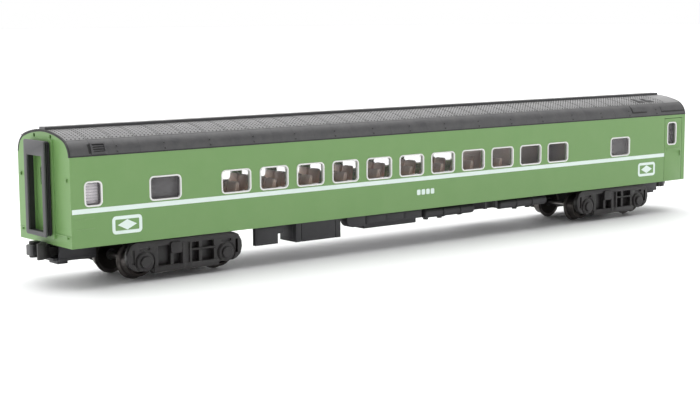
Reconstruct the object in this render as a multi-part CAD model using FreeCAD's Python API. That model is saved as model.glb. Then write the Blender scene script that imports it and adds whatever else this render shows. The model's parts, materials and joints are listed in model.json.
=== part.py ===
import FreeCAD, Part
import math
import os

# Model passenger coach, 1:160. Millimetres, +Z up, +X towards the vestibule end.
# The origin is on the coach's centre line, at the lowest point of the wheel flanges.

# ---- driving dimensions: track and wheels ----
FLANGE_DEPTH = 0.60
WHEEL_TREAD_R = 2.86
WHEEL_WIDTH = 1.90
FLANGE_WIDTH = 0.50
BACK_TO_BACK = 7.60
WHEEL_DISH = 0.45
AXLE_R = 0.60
AXLE_NEEDLE_R = 0.12
AXLE_HALF = 7.45
BUSH_R = 1.00

# ---- driving dimensions: body ----
BODY_LENGTH = 162.0
HALF_LENGTH = BODY_LENGTH / 2
BODY_WIDTH = 19.0
WHEEL_CLEARANCE = 0.53
BODY_BOTTOM = 2 * WHEEL_TREAD_R + 2 * FLANGE_DEPTH + WHEEL_CLEARANCE
EAVE_Z = BODY_BOTTOM + 15.43
CANT_Z = BODY_BOTTOM + 15.15
CORNER_R = 3.60
CROWN_R = 22.40
SIDE_WALL = 1.00
END_WALL = 1.20
ROOF_WALL = 0.90
ROOF_LIP = 0.35
FIT = 0.03
RIDGE_WIDTH = 2.00
RIDGE_RISE = 0.45
CORNER_POST_R = 0.50

# ---- driving dimensions: windows ----
WINDOW_COUNT = 11
WINDOW_PITCH = 8.48
WINDOW_WIDTH = 6.60
WINDOW_FIRST_X = -50.69
WINDOW_LOW = BODY_BOTTOM + 6.87
WINDOW_HIGH = BODY_BOTTOM + 11.29
WINDOW_R = 0.90
FRAME_BAND = 0.29
FRAME_PROUD = 0.10
PANE_SET_BACK = 0.12
GLAZING_WALL = 0.60
GLAZING_LAP = 0.70
REST_ROOM_WINDOWS = (
    (-HALF_LENGTH + 2.56, -HALF_LENGTH + 6.11),
    (-HALF_LENGTH + 15.30, -HALF_LENGTH + 21.90),
    (HALF_LENGTH - 26.40, HALF_LENGTH - 19.70),
)
DOOR_WINDOW_X = (HALF_LENGTH - 6.50, HALF_LENGTH - 3.10)
DOOR_WINDOW_LOW = BODY_BOTTOM + 8.40
DOOR_WINDOW_HIGH = BODY_BOTTOM + 13.85
SIDE_DOOR_X = (HALF_LENGTH - 7.50, HALF_LENGTH - 1.15)
SIDE_DOOR_TOP = BODY_BOTTOM + 14.75
DOOR_GAP = 0.12
DOOR_THICKNESS = 0.70
HANDLE_R = 0.13
HANDLE_LENGTH = 1.20
HANDLE_STAND = 0.15
HANDLE_DROP = 2.60
HANDLE_INSET = 0.75
SILL_DROP = 0.85
SILL_HALF = 0.14
SILL_INSET = 0.80

# ---- driving dimensions: gangway ends ----
COLLAR_HALF_WIDTH = 4.05
COLLAR_LOW = BODY_BOTTOM + 1.15
COLLAR_HIGH = BODY_BOTTOM + 18.25
COLLAR_DEPTH = 0.40
GANGWAY_HALF = 2.70
GANGWAY_LOW = BODY_BOTTOM + 2.30
GANGWAY_HIGH = BODY_BOTTOM + 15.35
FACE_PLATE_HALF = 3.75
FACE_PLATE_LOW = BODY_BOTTOM + 1.50
FACE_PLATE_HIGH = BODY_BOTTOM + 18.00
FACE_PLATE_THICKNESS = 0.35
GANGWAY_REACH = 1.75
BELLOWS_FOLDS = 2
BELLOWS_VALLEY = 0.35
END_DOOR_THICKNESS = 0.50
END_DOOR_RIM = 0.50
END_DOOR_SET_BACK = 0.05
END_LOCK_Y = (1.90, 2.20)
END_LOCK_Z = (GANGWAY_LOW + 1.30, GANGWAY_LOW + 2.50)
END_LOCK_PROUD = 0.20
END_PANE_THICKNESS = 0.50
END_WINDOW_HALF = 1.25
END_WINDOW_LOW = BODY_BOTTOM + 10.15
END_WINDOW_HIGH = BODY_BOTTOM + 13.35
END_WINDOW_R = 0.40
END_LAMP_Y = 3.00
END_LAMP_Z = BODY_BOTTOM + 18.60
END_LAMP_R = 0.35

# ---- driving dimensions: roof panels ----
# roof panels as (x0, x1, y0, y1, rise), repeated on the other side of the ridge
ROOF_PANELS = (
    (-HALF_LENGTH + 4.20, -HALF_LENGTH + 7.15, 8.10, 9.10, 0.20),
    (HALF_LENGTH - 14.00, HALF_LENGTH - 11.60, 3.20, 5.60, 0.16),
    (HALF_LENGTH - 11.00, HALF_LENGTH - 8.60, 3.20, 5.60, 0.16),
    (HALF_LENGTH - 18.40, HALF_LENGTH - 13.80, 7.50, 9.20, 0.12),
    (HALF_LENGTH - 8.40, HALF_LENGTH - 2.00, 7.60, 9.20, 0.12),
)

# ---- driving dimensions: interior ----
TRAY_FLOOR_Z = BODY_BOTTOM + 1.25
TRAY_THICKNESS = 0.70
SEAT_LENGTH = 3.00
SEAT_CUSHION_RISE = 2.60
SEAT_BACK_TOP = BODY_BOTTOM + 8.60
SEAT_BACK_CORNER_R = 0.45
SEAT_BACK_THICKNESS = 1.10
SEAT_BACK_ROOT = 0.60
SEAT_CUSHION_DIP = 0.25
SEAT_RECLINE = 1.00
SEAT_AISLE_HALF = 1.30
SEAT_OUTER_GAP = 0.55
SEAT_AHEAD = 0.90
SEAT_PLACE_GAP = 0.55
SEAT_ARM_TOP = BODY_BOTTOM + 7.20
SEAT_ARM_FRONT = 0.80
PARTITION_THICKNESS = 0.60
DOORWAY_HALF = 1.50
LINTEL = 1.30
PARTITION_TOP = BODY_BOTTOM + 13.75
PARTITION_X = (-HALF_LENGTH + 7.80, -55.00, 24.70, 46.00, 53.00, HALF_LENGTH - 16.50)

# ---- driving dimensions: underframe and its equipment ----
UNDERFRAME_THICKNESS = 0.55
UNDERFRAME_END_GAP = 0.40
WEIGHT_LENGTH = 96.0
WEIGHT_WIDTH = 12.0
WEIGHT_THICKNESS = 0.60
BOX_FACE_Y = 8.55
BATTERY_X = (-42.70, -37.50)
BATTERY_LOW = BODY_BOTTOM - 3.51
BATTERY_DEPTH = 0.90
BRACKET_LENGTH = 1.70
BRACKET_LOW = BODY_BOTTOM - 1.75
COOLER_X = (-33.30, -22.50)
COOLER_LOW = BODY_BOTTOM - 3.75
COOLER_DEPTH = 5.20
TROUGH_X = (-20.90, -19.30)
REGULATOR_X = (-19.30, -16.20)
REGULATOR_DEPTH = 2.20
REGULATOR_LOW = BODY_BOTTOM - 2.19
LOCKER_X = (-16.00, -1.50)
LOCKER_FRONT_LOW = BODY_BOTTOM - 1.85
BOX_LID_PROUD = 0.12
BOX_LID_SINK = 0.10
BATTERY_LID_MARGIN = 0.35
BRACKET_Y = (0.50, 2.50)
COOLER_SEAM_IN = 1.30
COOLER_SEAM_HALF = 0.08
COOLER_SEAM_DEPTH = 0.15
COOLER_SEAM_STOP = 0.30
COOLER_PANEL_PROUD = 0.15
COOLER_PANEL_IN = 0.90
COOLER_PANEL_MARGIN = 0.50
LOCKER_KEEL_IN = 0.40
LOCKER_DOORS = 3
LOCKER_DOOR_MARGIN = 0.30
LOCKER_LOW = BODY_BOTTOM - 2.95
LOCKER_DEPTH = 4.60
LOCKER_STEP = 1.30
TANK_R = 0.95
TANK_Z = BODY_BOTTOM - 1.25
TANK_X = ((-0.40, 13.45), (20.90, 35.20))
TANK_STRAPS_X = ((4.60, 9.40), (25.90, 30.60))
STRAP_WIDTH = 0.60
STRAP_WALL = 0.15
LUMP_X = ((1.20, 2.40), (5.30, 1.80), (27.50, 1.50), (31.50, 1.50))
LUMP_LOW = BODY_BOTTOM - 2.90
HANGER_X = (16.80, 19.90)
HANGER_LOW = BODY_BOTTOM - 1.80
PIPE_R = 0.28
PIPE_Y = 0.90
PIPE_HANGERS = 7
PIPE_Z = BODY_BOTTOM - 0.65
PIPE_X = (-43.50, 43.50)

# ---- driving dimensions: trucks ----
TRUCK_X = HALF_LENGTH - 23.50
WHEELBASE = 17.15
TRUCK_TOP = BODY_BOTTOM - 0.40
FRAME_INNER_Y = 7.10
FRAME_THICKNESS = 1.00
FRAME_END = 12.10
TOP_BEAM_LOW = TRUCK_TOP - 0.95
EQUALIZER_DROP = 2.11
EQUALIZER_RISE = 1.15
EQUALIZER_HALF = 6.80
PEDESTAL_HALF = 2.05
JOURNAL_COVER_R = 1.10
JOURNAL_COVER_DEPTH = 0.45
CUP_R = 0.80
CUP_DEPTH = 0.75
NEEDLE_PLAY = 0.05
BOLSTER_HALF_X = 2.60
BOLSTER_LOW = TRUCK_TOP - 2.15
TRANSOM_HALF_X = 3.60
TRANSOM_DROP = 0.60
PLANK_HALF_X = 6.10
PLANK_THICKNESS = 0.60
PLANK_LOW = BODY_BOTTOM - 5.65
TRANSOM_HALF_Y = 2.40
KINGPIN_R = 0.90
KINGPIN_PLAY = 0.05
KINGPIN_HEAD_R = 1.55
KINGPIN_HEAD_HEIGHT = 0.70
CENTRE_PAD_R = 2.20
CENTRE_PAD_PLAY = 0.06
SPRING_BLOCK_X = (-3.40, -1.10)
SPRING_BLOCK_LOW = TRUCK_TOP - 2.55
SPRING_BLOCK_HIGH = TRUCK_TOP - 0.50
SIDE_ROD_X = (0.60, 6.40)
SIDE_ROD_R = 0.25
SIDE_ROD_Z = TRUCK_TOP - 2.30
SPRING_PROUD = 0.45
SPRING_CORNER_R = 0.35
FRAME_WINDOWS_X = ((1.00, 2.70), (3.30, 5.90))
PEDESTAL_SLOT = 0.55
PEDESTAL_GROOVE = 0.35
PEDESTAL_GROOVE_DEPTH = 0.25
SPRING_POCKET_HALF_X = 1.15
SPRING_POCKET_LOW = 2.02
SPRING_POCKET_HIGH = 2.52
SPRING_POCKET_R = 0.22
SPRING_POCKET_DEPTH = 0.40
JOURNAL_SEAT_R = 1.60
JOURNAL_SEAT_PROUD = 0.20
EQUALIZER_PROUD = 0.25
SWING_HANGER_X = (0.55, 0.95)
SWING_HANGER_PROUD = 0.30

# ---- driving dimensions: couplers ----
COUPLER_PIVOT_X = HALF_LENGTH - 5.00
COUPLER_HEAD_X = COUPLER_PIVOT_X + 4.70
COUPLER_REACH = COUPLER_PIVOT_X + 8.00
SHANK_HALF = 1.05
SHANK_LOW = BODY_BOTTOM - 2.10
SHANK_HIGH = BODY_BOTTOM - 0.70
EYE_HIGH = BODY_BOTTOM - 1.50
EYE_R = 1.45
PIVOT_POST_R = 0.60
PIVOT_PLAY = 0.06
HEAD_LOW = BODY_BOTTOM - 2.45
HEAD_HIGH = BODY_BOTTOM + 0.35
HEAD_NECK_HIGH = BODY_BOTTOM - 0.35
HEAD_TALL_X = HALF_LENGTH + 0.62
HEAD_SIDE_Y = 1.95
HEAD_EAR = 0.45
KNUCKLE_PIVOT = (COUPLER_PIVOT_X + 6.70, -1.35)
KNUCKLE_PIN_R = 0.32
KNUCKLE_EYE_R = 0.72
KNUCKLE_PLAY = 0.06
KNUCKLE_GAP = 0.12
DRAFT_BOX_X = (COUPLER_PIVOT_X - 3.40, COUPLER_PIVOT_X + 3.70)
DRAFT_BOX_HALF = 2.45
DRAFT_BOX_CEILING = 0.35
DRAFT_PAD_LENGTH = 2.00
DRAFT_PAD_DROP = 0.60
DRAFT_BOX_WALL = 0.50
DRAFT_LID_LOW = BODY_BOTTOM - 3.10
DRAFT_LID_THICKNESS = 0.50
DRAFT_LIP_X = COUPLER_PIVOT_X + 4.50
DRAFT_LIP_HALF = 1.60
CENTRING_WIRE_R = 0.11
CENTRING_TURNS = 3
CENTRING_PITCH = 0.19
LID_SCREW_RIM = 0.40
LID_SCREW_HEAD = 0.35
LID_SCREW_SLOT_HALF = 0.12
LID_SCREW_WEB = 0.20
LID_SCREW_R = 0.55

# ---- sizes that follow from the driving dimensions ----
HALF_WIDTH = BODY_WIDTH / 2
WHEEL_Z = FLANGE_DEPTH + WHEEL_TREAD_R
EQUALIZER_LOW = WHEEL_Z - EQUALIZER_DROP
WHEEL_BACK_Y = BACK_TO_BACK / 2
WALL_INNER_Y = HALF_WIDTH - SIDE_WALL
UNDERFRAME_HALF_Y = WALL_INNER_Y - FIT
UNDERFRAME_TOP = BODY_BOTTOM + UNDERFRAME_THICKNESS
UNDERFRAME_END = HALF_LENGTH - END_WALL - UNDERFRAME_END_GAP
KINGPIN_SEAT = TRAY_FLOOR_Z - UNDERFRAME_TOP - 2 * FIT
FRAME_OUTER_Y = FRAME_INNER_Y + FRAME_THICKNESS
TRUCK_CENTRES = {"a": -TRUCK_X, "b": TRUCK_X}
FACE_X = HALF_LENGTH + GANGWAY_REACH
LID_SCREW_X = DRAFT_BOX_X[0] + DRAFT_BOX_WALL + LID_SCREW_R + LID_SCREW_WEB
UP = FreeCAD.Vector(0, 0, 1)
ACROSS = FreeCAD.Vector(0, 1, 0)
ALONG = FreeCAD.Vector(1, 0, 0)
ORIGIN = FreeCAD.Vector(0, 0, 0)
OUTPUT_FOLDER = "parts"


# ---- small helpers ----
def block(x0, x1, y0, y1, z0, z1):
    corner = FreeCAD.Vector(min(x0, x1), min(y0, y1), min(z0, z1))
    return Part.makeBox(abs(x1 - x0), abs(y1 - y0), abs(z1 - z0), corner)


def rod(radius, start, direction, length):
    return Part.makeCylinder(radius, length, FreeCAD.Vector(*start), direction)


def joined(shapes):
    result = shapes[0]
    for shape in shapes[1:]:
        result = result.fuse(shape)
    return result.removeSplitter()


def grouped(shapes):
    return Part.makeCompound(shapes)


def mirrored_y(shape):
    return shape.mirror(ORIGIN, ACROSS)


def mirrored_x(shape):
    return shape.mirror(ORIGIN, ALONG)


def turned(shape, angle=180.0):
    copy = shape.copy()
    copy.rotate(ORIGIN, UP, angle)
    return copy


def moved(shape, x=0.0, y=0.0, z=0.0):
    copy = shape.copy()
    copy.translate(FreeCAD.Vector(x, y, z))
    return copy


def both_sides(shape):
    return [shape, mirrored_y(shape)]


def plate_xz(points, y0, y1):
    """Closed outline of (x, z) points, given thickness from y0 to y1."""
    wire = Part.makePolygon([FreeCAD.Vector(x, y0, z) for x, z in points + points[:1]])
    return Part.Face(wire).extrude(FreeCAD.Vector(0, y1 - y0, 0))


def plate_xy(points, z0, z1):
    """Closed outline of (x, y) points, given height from z0 to z1."""
    wire = Part.makePolygon([FreeCAD.Vector(x, y, z0) for x, y in points + points[:1]])
    return Part.Face(wire).extrude(FreeCAD.Vector(0, 0, z1 - z0))


def rounded_panel_xz(x0, x1, z0, z1, radius, y0, y1):
    """Upright panel in the plane of a side, with its four corners rounded."""
    panel = block(x0, x1, y0, y1, z0, z1)
    corners = [edge for edge in panel.Edges if abs(edge.BoundBox.YLength - abs(y1 - y0)) < 1e-6]
    return panel.makeFillet(radius, corners)


def rounded_panel_yz(half_width, z0, z1, radius, x0, x1):
    """Upright panel in the plane of an end, with its four corners rounded."""
    panel = block(x0, x1, -half_width, half_width, z0, z1)
    corners = [edge for edge in panel.Edges if abs(edge.BoundBox.XLength - abs(x1 - x0)) < 1e-6]
    return panel.makeFillet(radius, corners)


def end_frame(half_width, z0, z1, hole_half, hole_z0, hole_z1, x0, x1):
    """Ring across an end, with a rectangular way through it."""
    outer = rounded_panel_yz(half_width, z0, z1, CORNER_POST_R, x0, x1)
    return outer.cut(block(x0 - 1, x1 + 1, -hole_half, hole_half, hole_z0, hole_z1))


# ---- cross-section of body and roof ----
def section_arcs(inset):
    """Edges of the arched top of the section, from the -Y side to the +Y side."""
    corner_y = HALF_WIDTH - CORNER_R
    rise = math.sqrt((CROWN_R - CORNER_R) ** 2 - corner_y ** 2)
    crown_centre_z = CANT_Z - rise
    lean = math.atan2(corner_y, rise)
    corner_r = CORNER_R - inset
    crown_r = CROWN_R - inset

    def corner_point(angle):
        return corner_y + corner_r * math.sin(angle), CANT_Z + corner_r * math.cos(angle)

    shoulder = corner_point(math.pi / 2)
    middle = corner_point((math.pi / 2 + lean) / 2)
    tangent = corner_point(lean)
    crown = FreeCAD.Vector(0, 0, crown_centre_z + crown_r)

    def near(point):
        return FreeCAD.Vector(0, -point[0], point[1])

    def far(point):
        return FreeCAD.Vector(0, point[0], point[1])

    near_corner = Part.Arc(near(shoulder), near(middle), near(tangent)).toShape()
    crown_arc = Part.Arc(near(tangent), crown, far(tangent)).toShape()
    far_corner = Part.Arc(far(tangent), far(middle), far(shoulder)).toShape()
    return [near_corner, crown_arc, far_corner], near(shoulder), far(shoulder)


def section_solid(inset, x0, x1, low_z):
    """Body cross-section, set in by a wall, run along X."""
    arcs, near_cant, far_cant = section_arcs(inset)
    near_foot = FreeCAD.Vector(0, near_cant.y, low_z)
    far_foot = FreeCAD.Vector(0, far_cant.y, low_z)
    edges = [Part.LineSegment(near_foot, near_cant).toShape()] + arcs
    edges.append(Part.LineSegment(far_cant, far_foot).toShape())
    edges.append(Part.LineSegment(far_foot, near_foot).toShape())
    face = Part.Face(Part.Wire(edges))
    face.translate(FreeCAD.Vector(x0, 0, 0))
    return face.extrude(FreeCAD.Vector(x1 - x0, 0, 0))


def crown_height():
    return section_arcs(0)[0][1].BoundBox.ZMax


# ---- windows ----
def main_window_spans():
    starts = [WINDOW_FIRST_X + i * WINDOW_PITCH for i in range(WINDOW_COUNT)]
    return [(start, start + WINDOW_WIDTH) for start in starts]


def window_openings():
    """Every opening in one side as (x0, x1, z0, z1)."""
    spans = main_window_spans() + list(REST_ROOM_WINDOWS)
    return [(x0, x1, WINDOW_LOW, WINDOW_HIGH) for x0, x1 in spans]


def door_opening():
    return DOOR_WINDOW_X + (DOOR_WINDOW_LOW, DOOR_WINDOW_HIGH)


def opening_panel(opening, inset, y0, y1):
    x0, x1, z0, z1 = opening
    radius = WINDOW_R - inset
    return rounded_panel_xz(x0 + inset, x1 - inset, z0 + inset, z1 - inset, radius, y0, y1)


# ---- body ----
def body_shell():
    outer = section_solid(0, -HALF_LENGTH, HALF_LENGTH, BODY_BOTTOM)
    above = block(-HALF_LENGTH, HALF_LENGTH, -HALF_WIDTH, HALF_WIDTH, EAVE_Z, EAVE_Z + CROWN_R)
    shell = outer.cut(above)
    inner_x = HALF_LENGTH - END_WALL
    hollow = block(-inner_x, inner_x, -WALL_INNER_Y, WALL_INNER_Y, BODY_BOTTOM, EAVE_Z)
    shell = shell.cut(hollow)
    arch = section_solid(ROOF_LIP + FIT, inner_x, HALF_LENGTH, EAVE_Z - SIDE_WALL)
    shell = shell.fuse([arch, mirrored_x(arch)])
    shell = shell.cut(openings_in_sides())
    shell = shell.cut(openings_in_ends())
    collar = end_frame(COLLAR_HALF_WIDTH, COLLAR_LOW, COLLAR_HIGH, GANGWAY_HALF,
                       GANGWAY_LOW, GANGWAY_HIGH, HALF_LENGTH, HALF_LENGTH + COLLAR_DEPTH)
    return shell.fuse([collar, mirrored_x(collar)]).removeSplitter()


def openings_in_sides():
    cuts = []
    for opening in window_openings():
        cuts.append(opening_panel(opening, 0, -HALF_WIDTH - 1, -WALL_INNER_Y + 1))
    cuts.append(block(SIDE_DOOR_X[0], SIDE_DOOR_X[1], -HALF_WIDTH - 1, -HALF_WIDTH + DOOR_THICKNESS,
                      BODY_BOTTOM - 1, SIDE_DOOR_TOP))
    door = door_opening()
    cuts.append(opening_panel(door, -GLAZING_LAP / 2, -HALF_WIDTH, -WALL_INNER_Y + 1))
    return grouped(cuts + [mirrored_y(cut) for cut in cuts])


def openings_in_ends():
    doorway = block(HALF_LENGTH - END_WALL - 1, HALF_LENGTH + 1, -GANGWAY_HALF, GANGWAY_HALF,
                    GANGWAY_LOW, GANGWAY_HIGH)
    lamps = []
    for side in (-1, 1):
        start = (HALF_LENGTH - END_WALL / 2, side * END_LAMP_Y, END_LAMP_Z)
        lamps.append(rod(END_LAMP_R, start, ALONG, END_WALL))
    cuts = [doorway] + lamps
    return grouped(cuts + [mirrored_x(cut) for cut in cuts])


def roof():
    outer = section_solid(0, -HALF_LENGTH, HALF_LENGTH, BODY_BOTTOM)
    inner = section_solid(ROOF_WALL, -HALF_LENGTH - 1, HALF_LENGTH + 1, BODY_BOTTOM)
    skin = outer.cut(inner)
    below = block(-HALF_LENGTH, HALF_LENGTH, -HALF_WIDTH, HALF_WIDTH, BODY_BOTTOM - 1, EAVE_Z)
    skin = skin.cut(below)
    rebate_start = HALF_LENGTH - END_WALL - FIT
    rebate = section_solid(ROOF_LIP, rebate_start, HALF_LENGTH + 1, BODY_BOTTOM)
    return skin.cut(rebate).cut(mirrored_x(rebate))


def roof_ridge():
    """Square-ended duct cover along the crown, hollowed to sit on the arch."""
    top = crown_height() + RIDGE_RISE
    bar = block(-HALF_LENGTH, HALF_LENGTH, -RIDGE_WIDTH / 2, RIDGE_WIDTH / 2, top - 2 * RIDGE_RISE, top)
    return bar.cut(section_solid(-FIT / 3, -HALF_LENGTH - 1, HALF_LENGTH + 1, BODY_BOTTOM))


def roof_pad(x0, x1, y0, y1, rise):
    """Thin panel that follows the roof's curve over a rectangle of its plan."""
    raised = section_solid(-rise, x0, x1, BODY_BOTTOM)
    seat = section_solid(-FIT / 3, x0 - 1, x1 + 1, BODY_BOTTOM)
    window = block(x0, x1, y0, y1, EAVE_Z, EAVE_Z + CROWN_R)
    return raised.cut(seat).common(window)


def roof_vents():
    pads = []
    for x0, x1, y0, y1, rise in ROOF_PANELS:
        pads += both_sides(roof_pad(x0, x1, y0, y1, rise))
    return grouped(pads)


def window_frames():
    rings = []
    for opening in window_openings():
        ring = opening_panel(opening, FIT, -HALF_WIDTH - FRAME_PROUD, -HALF_WIDTH + SIDE_WALL / 2)
        hole = opening_panel(opening, FRAME_BAND, -HALF_WIDTH - 1, -WALL_INNER_Y)
        rings += both_sides(ring.cut(hole))
    return grouped(rings)


def side_glazing():
    """One clear moulding for each side: a strip with a raised pane in every main window."""
    spans = main_window_spans()
    back_y = -WALL_INNER_Y + FIT
    strip = block(spans[0][0] - GLAZING_LAP, spans[-1][1] + GLAZING_LAP, back_y, back_y + GLAZING_WALL,
                  WINDOW_LOW - GLAZING_LAP, WINDOW_HIGH + GLAZING_LAP)
    panes = []
    for x0, x1 in spans:
        opening = (x0, x1, WINDOW_LOW, WINDOW_HIGH)
        panes.append(opening_panel(opening, FRAME_BAND + FIT, -HALF_WIDTH + PANE_SET_BACK, back_y + FIT))
    return grouped(both_sides(joined([strip] + panes)))


def blank_panes():
    """Dark or frosted panes of the wash rooms, each with a flange behind the wall."""
    panes = []
    back_y = -WALL_INNER_Y + FIT
    for x0, x1 in REST_ROOM_WINDOWS:
        opening = (x0, x1, WINDOW_LOW, WINDOW_HIGH)
        pane = opening_panel(opening, FRAME_BAND + FIT, -HALF_WIDTH + PANE_SET_BACK, back_y + FIT)
        flange = block(x0 - GLAZING_LAP, x1 + GLAZING_LAP, back_y, back_y + GLAZING_WALL,
                       WINDOW_LOW - GLAZING_LAP, WINDOW_HIGH + GLAZING_LAP)
        panes += both_sides(joined([pane, flange]))
    return grouped(panes)


def side_doors():
    """Vestibule doors, let into the side, each with its window opening, sill and handle."""
    x0, x1 = SIDE_DOOR_X
    leaf = block(x0 + DOOR_GAP, x1 - DOOR_GAP, -HALF_WIDTH, -HALF_WIDTH + DOOR_THICKNESS - FIT,
                 BODY_BOTTOM, SIDE_DOOR_TOP - DOOR_GAP)
    leaf = leaf.cut(opening_panel(door_opening(), 0, -HALF_WIDTH - 1, -WALL_INNER_Y))
    sill_z = DOOR_WINDOW_LOW - SILL_DROP
    sill = block(x0 + SILL_INSET, x1 - SILL_INSET, -HALF_WIDTH - SILL_HALF, -HALF_WIDTH + SILL_HALF,
                 sill_z - SILL_HALF, sill_z + SILL_HALF)
    handle_x = x1 - HANDLE_INSET
    handle_y = -HALF_WIDTH - HANDLE_STAND
    handle_z = DOOR_WINDOW_LOW - HANDLE_DROP
    handle = rod(HANDLE_R, (handle_x, handle_y, handle_z), UP, HANDLE_LENGTH)
    stem = rod(HANDLE_R * 0.8, (handle_x, handle_y, handle_z + HANDLE_LENGTH / 2), ACROSS, 2 * HANDLE_STAND)
    return grouped(both_sides(joined([leaf, sill, handle, stem])))


def door_panes():
    """Clear panes of the side doors, stepped to stop against the wall behind the leaf."""
    opening = door_opening()
    pane = opening_panel(opening, FRAME_BAND + FIT, -HALF_WIDTH + PANE_SET_BACK, -WALL_INNER_Y)
    rim_y = -HALF_WIDTH + DOOR_THICKNESS + FIT
    rim = opening_panel(opening, -GLAZING_LAP / 2 + FIT, rim_y, -WALL_INNER_Y)
    return grouped(both_sides(joined([pane, rim])))


def door_window_frames():
    opening = door_opening()
    ring = opening_panel(opening, FIT, -HALF_WIDTH - FRAME_PROUD / 2, -HALF_WIDTH + DOOR_THICKNESS / 2)
    hole = opening_panel(opening, FRAME_BAND, -HALF_WIDTH - 1, -WALL_INNER_Y)
    return grouped(both_sides(ring.cut(hole)))


# ---- gangway ends ----
def end_door():
    """Green end door: a panel that fills the doorway, and a rim that stops behind the wall."""
    rim_x = HALF_LENGTH - END_WALL - FIT
    face_x = HALF_LENGTH - END_DOOR_SET_BACK
    back_x = rim_x - END_DOOR_THICKNESS
    rim = block(back_x, rim_x, -GANGWAY_HALF - END_DOOR_RIM, GANGWAY_HALF + END_DOOR_RIM,
                GANGWAY_LOW - END_DOOR_RIM, GANGWAY_HIGH + END_DOOR_RIM)
    panel = block(back_x, face_x, -GANGWAY_HALF + FIT, GANGWAY_HALF - FIT,
                  GANGWAY_LOW + FIT, GANGWAY_HIGH - FIT)
    hole = rounded_panel_yz(END_WINDOW_HALF, END_WINDOW_LOW, END_WINDOW_HIGH, END_WINDOW_R,
                            back_x - 1, face_x + 1)
    lock = block(face_x - FIT, face_x + END_LOCK_PROUD, END_LOCK_Y[0], END_LOCK_Y[1],
                 END_LOCK_Z[0], END_LOCK_Z[1])
    return joined([rim, panel, lock]).cut(hole)


def end_door_panes():
    front_x = HALF_LENGTH - END_DOOR_SET_BACK - PANE_SET_BACK
    pane = rounded_panel_yz(END_WINDOW_HALF - FIT, END_WINDOW_LOW + FIT, END_WINDOW_HIGH - FIT,
                            END_WINDOW_R - FIT, front_x - END_PANE_THICKNESS, front_x)
    return grouped([pane, mirrored_x(pane)])


def bellows():
    """Folded gangway bellows: ribs and valleys between the collar and the face plate."""
    x0 = HALF_LENGTH + COLLAR_DEPTH
    x1 = FACE_X - FACE_PLATE_THICKNESS
    step = (x1 - x0) / (2 * BELLOWS_FOLDS + 1)
    leaves = []
    for i in range(2 * BELLOWS_FOLDS + 1):
        shrink = BELLOWS_VALLEY if i % 2 == 0 else BELLOWS_VALLEY * 0.35
        leaves.append(end_frame(FACE_PLATE_HALF - shrink, FACE_PLATE_LOW + shrink,
                                FACE_PLATE_HIGH - shrink, GANGWAY_HALF, GANGWAY_LOW, GANGWAY_HIGH,
                                x0 + i * step, x0 + (i + 1) * step))
    return joined(leaves)


def face_plate():
    return end_frame(FACE_PLATE_HALF, FACE_PLATE_LOW, FACE_PLATE_HIGH, GANGWAY_HALF,
                     GANGWAY_LOW, GANGWAY_HIGH, FACE_X - FACE_PLATE_THICKNESS, FACE_X)


# ---- interior ----
def interior_tray():
    half_x = HALF_LENGTH - END_WALL - END_DOOR_THICKNESS - 3 * FIT
    half_y = WALL_INNER_Y - GLAZING_WALL - 3 * FIT
    floor = block(-half_x, half_x, -half_y, half_y, TRAY_FLOOR_Z, TRAY_FLOOR_Z + TRAY_THICKNESS)
    skirts = []
    for side in (-1, 1):
        skirts.append(block(-half_x + 8, half_x - 8, side * half_y, side * (half_y - 0.5),
                            UNDERFRAME_TOP, TRAY_FLOOR_Z + TRAY_THICKNESS))
    return joined([floor] + skirts)


def seat_bench():
    """Two-place bench: one cushion, a reclined back for each place and an arm between, front at x = 0."""
    foot = TRAY_FLOOR_Z + TRAY_THICKNESS
    cushion = foot + SEAT_CUSHION_RISE
    outline = [(0.3, foot), (0.0, cushion), (SEAT_LENGTH - 0.2, cushion - SEAT_CUSHION_DIP),
               (SEAT_LENGTH + SEAT_RECLINE, SEAT_BACK_TOP),
               (SEAT_LENGTH + SEAT_RECLINE + SEAT_BACK_THICKNESS * 0.6, SEAT_BACK_TOP),
               (SEAT_LENGTH + SEAT_BACK_THICKNESS, cushion - SEAT_BACK_ROOT),
               (SEAT_LENGTH + 0.4, foot)]
    outer_y = -(WALL_INNER_Y - GLAZING_WALL - 3 * FIT) + SEAT_OUTER_GAP
    gap_y = (outer_y - SEAT_AISLE_HALF - SEAT_PLACE_GAP) / 2
    bench = plate_xz(outline, outer_y, -SEAT_AISLE_HALF)
    bench = bench.cut(block(-1, SEAT_LENGTH + SEAT_RECLINE + SEAT_BACK_THICKNESS, gap_y,
                            gap_y + SEAT_PLACE_GAP, cushion - SEAT_CUSHION_DIP, SEAT_BACK_TOP + 1))
    shoulders = [edge for edge in bench.Edges
                 if edge.BoundBox.ZMin > SEAT_BACK_TOP - 1e-4 and edge.BoundBox.XLength > 0.1]
    bench = bench.makeFillet(SEAT_BACK_CORNER_R, shoulders)
    arm = block(SEAT_ARM_FRONT, SEAT_LENGTH + SEAT_RECLINE / 2, gap_y, gap_y + SEAT_PLACE_GAP,
                cushion - SEAT_BACK_ROOT, SEAT_ARM_TOP)
    return joined([bench, arm])


def seats():
    """A bench on each side at every main window but the last two, a little ahead of its middle."""
    benches = []
    bench = seat_bench()
    for start, end in main_window_spans()[:-2]:
        place = (start + end - SEAT_LENGTH) / 2 - SEAT_AHEAD
        benches += both_sides(moved(bench, place, 0, 0))
    return grouped(benches)


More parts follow.
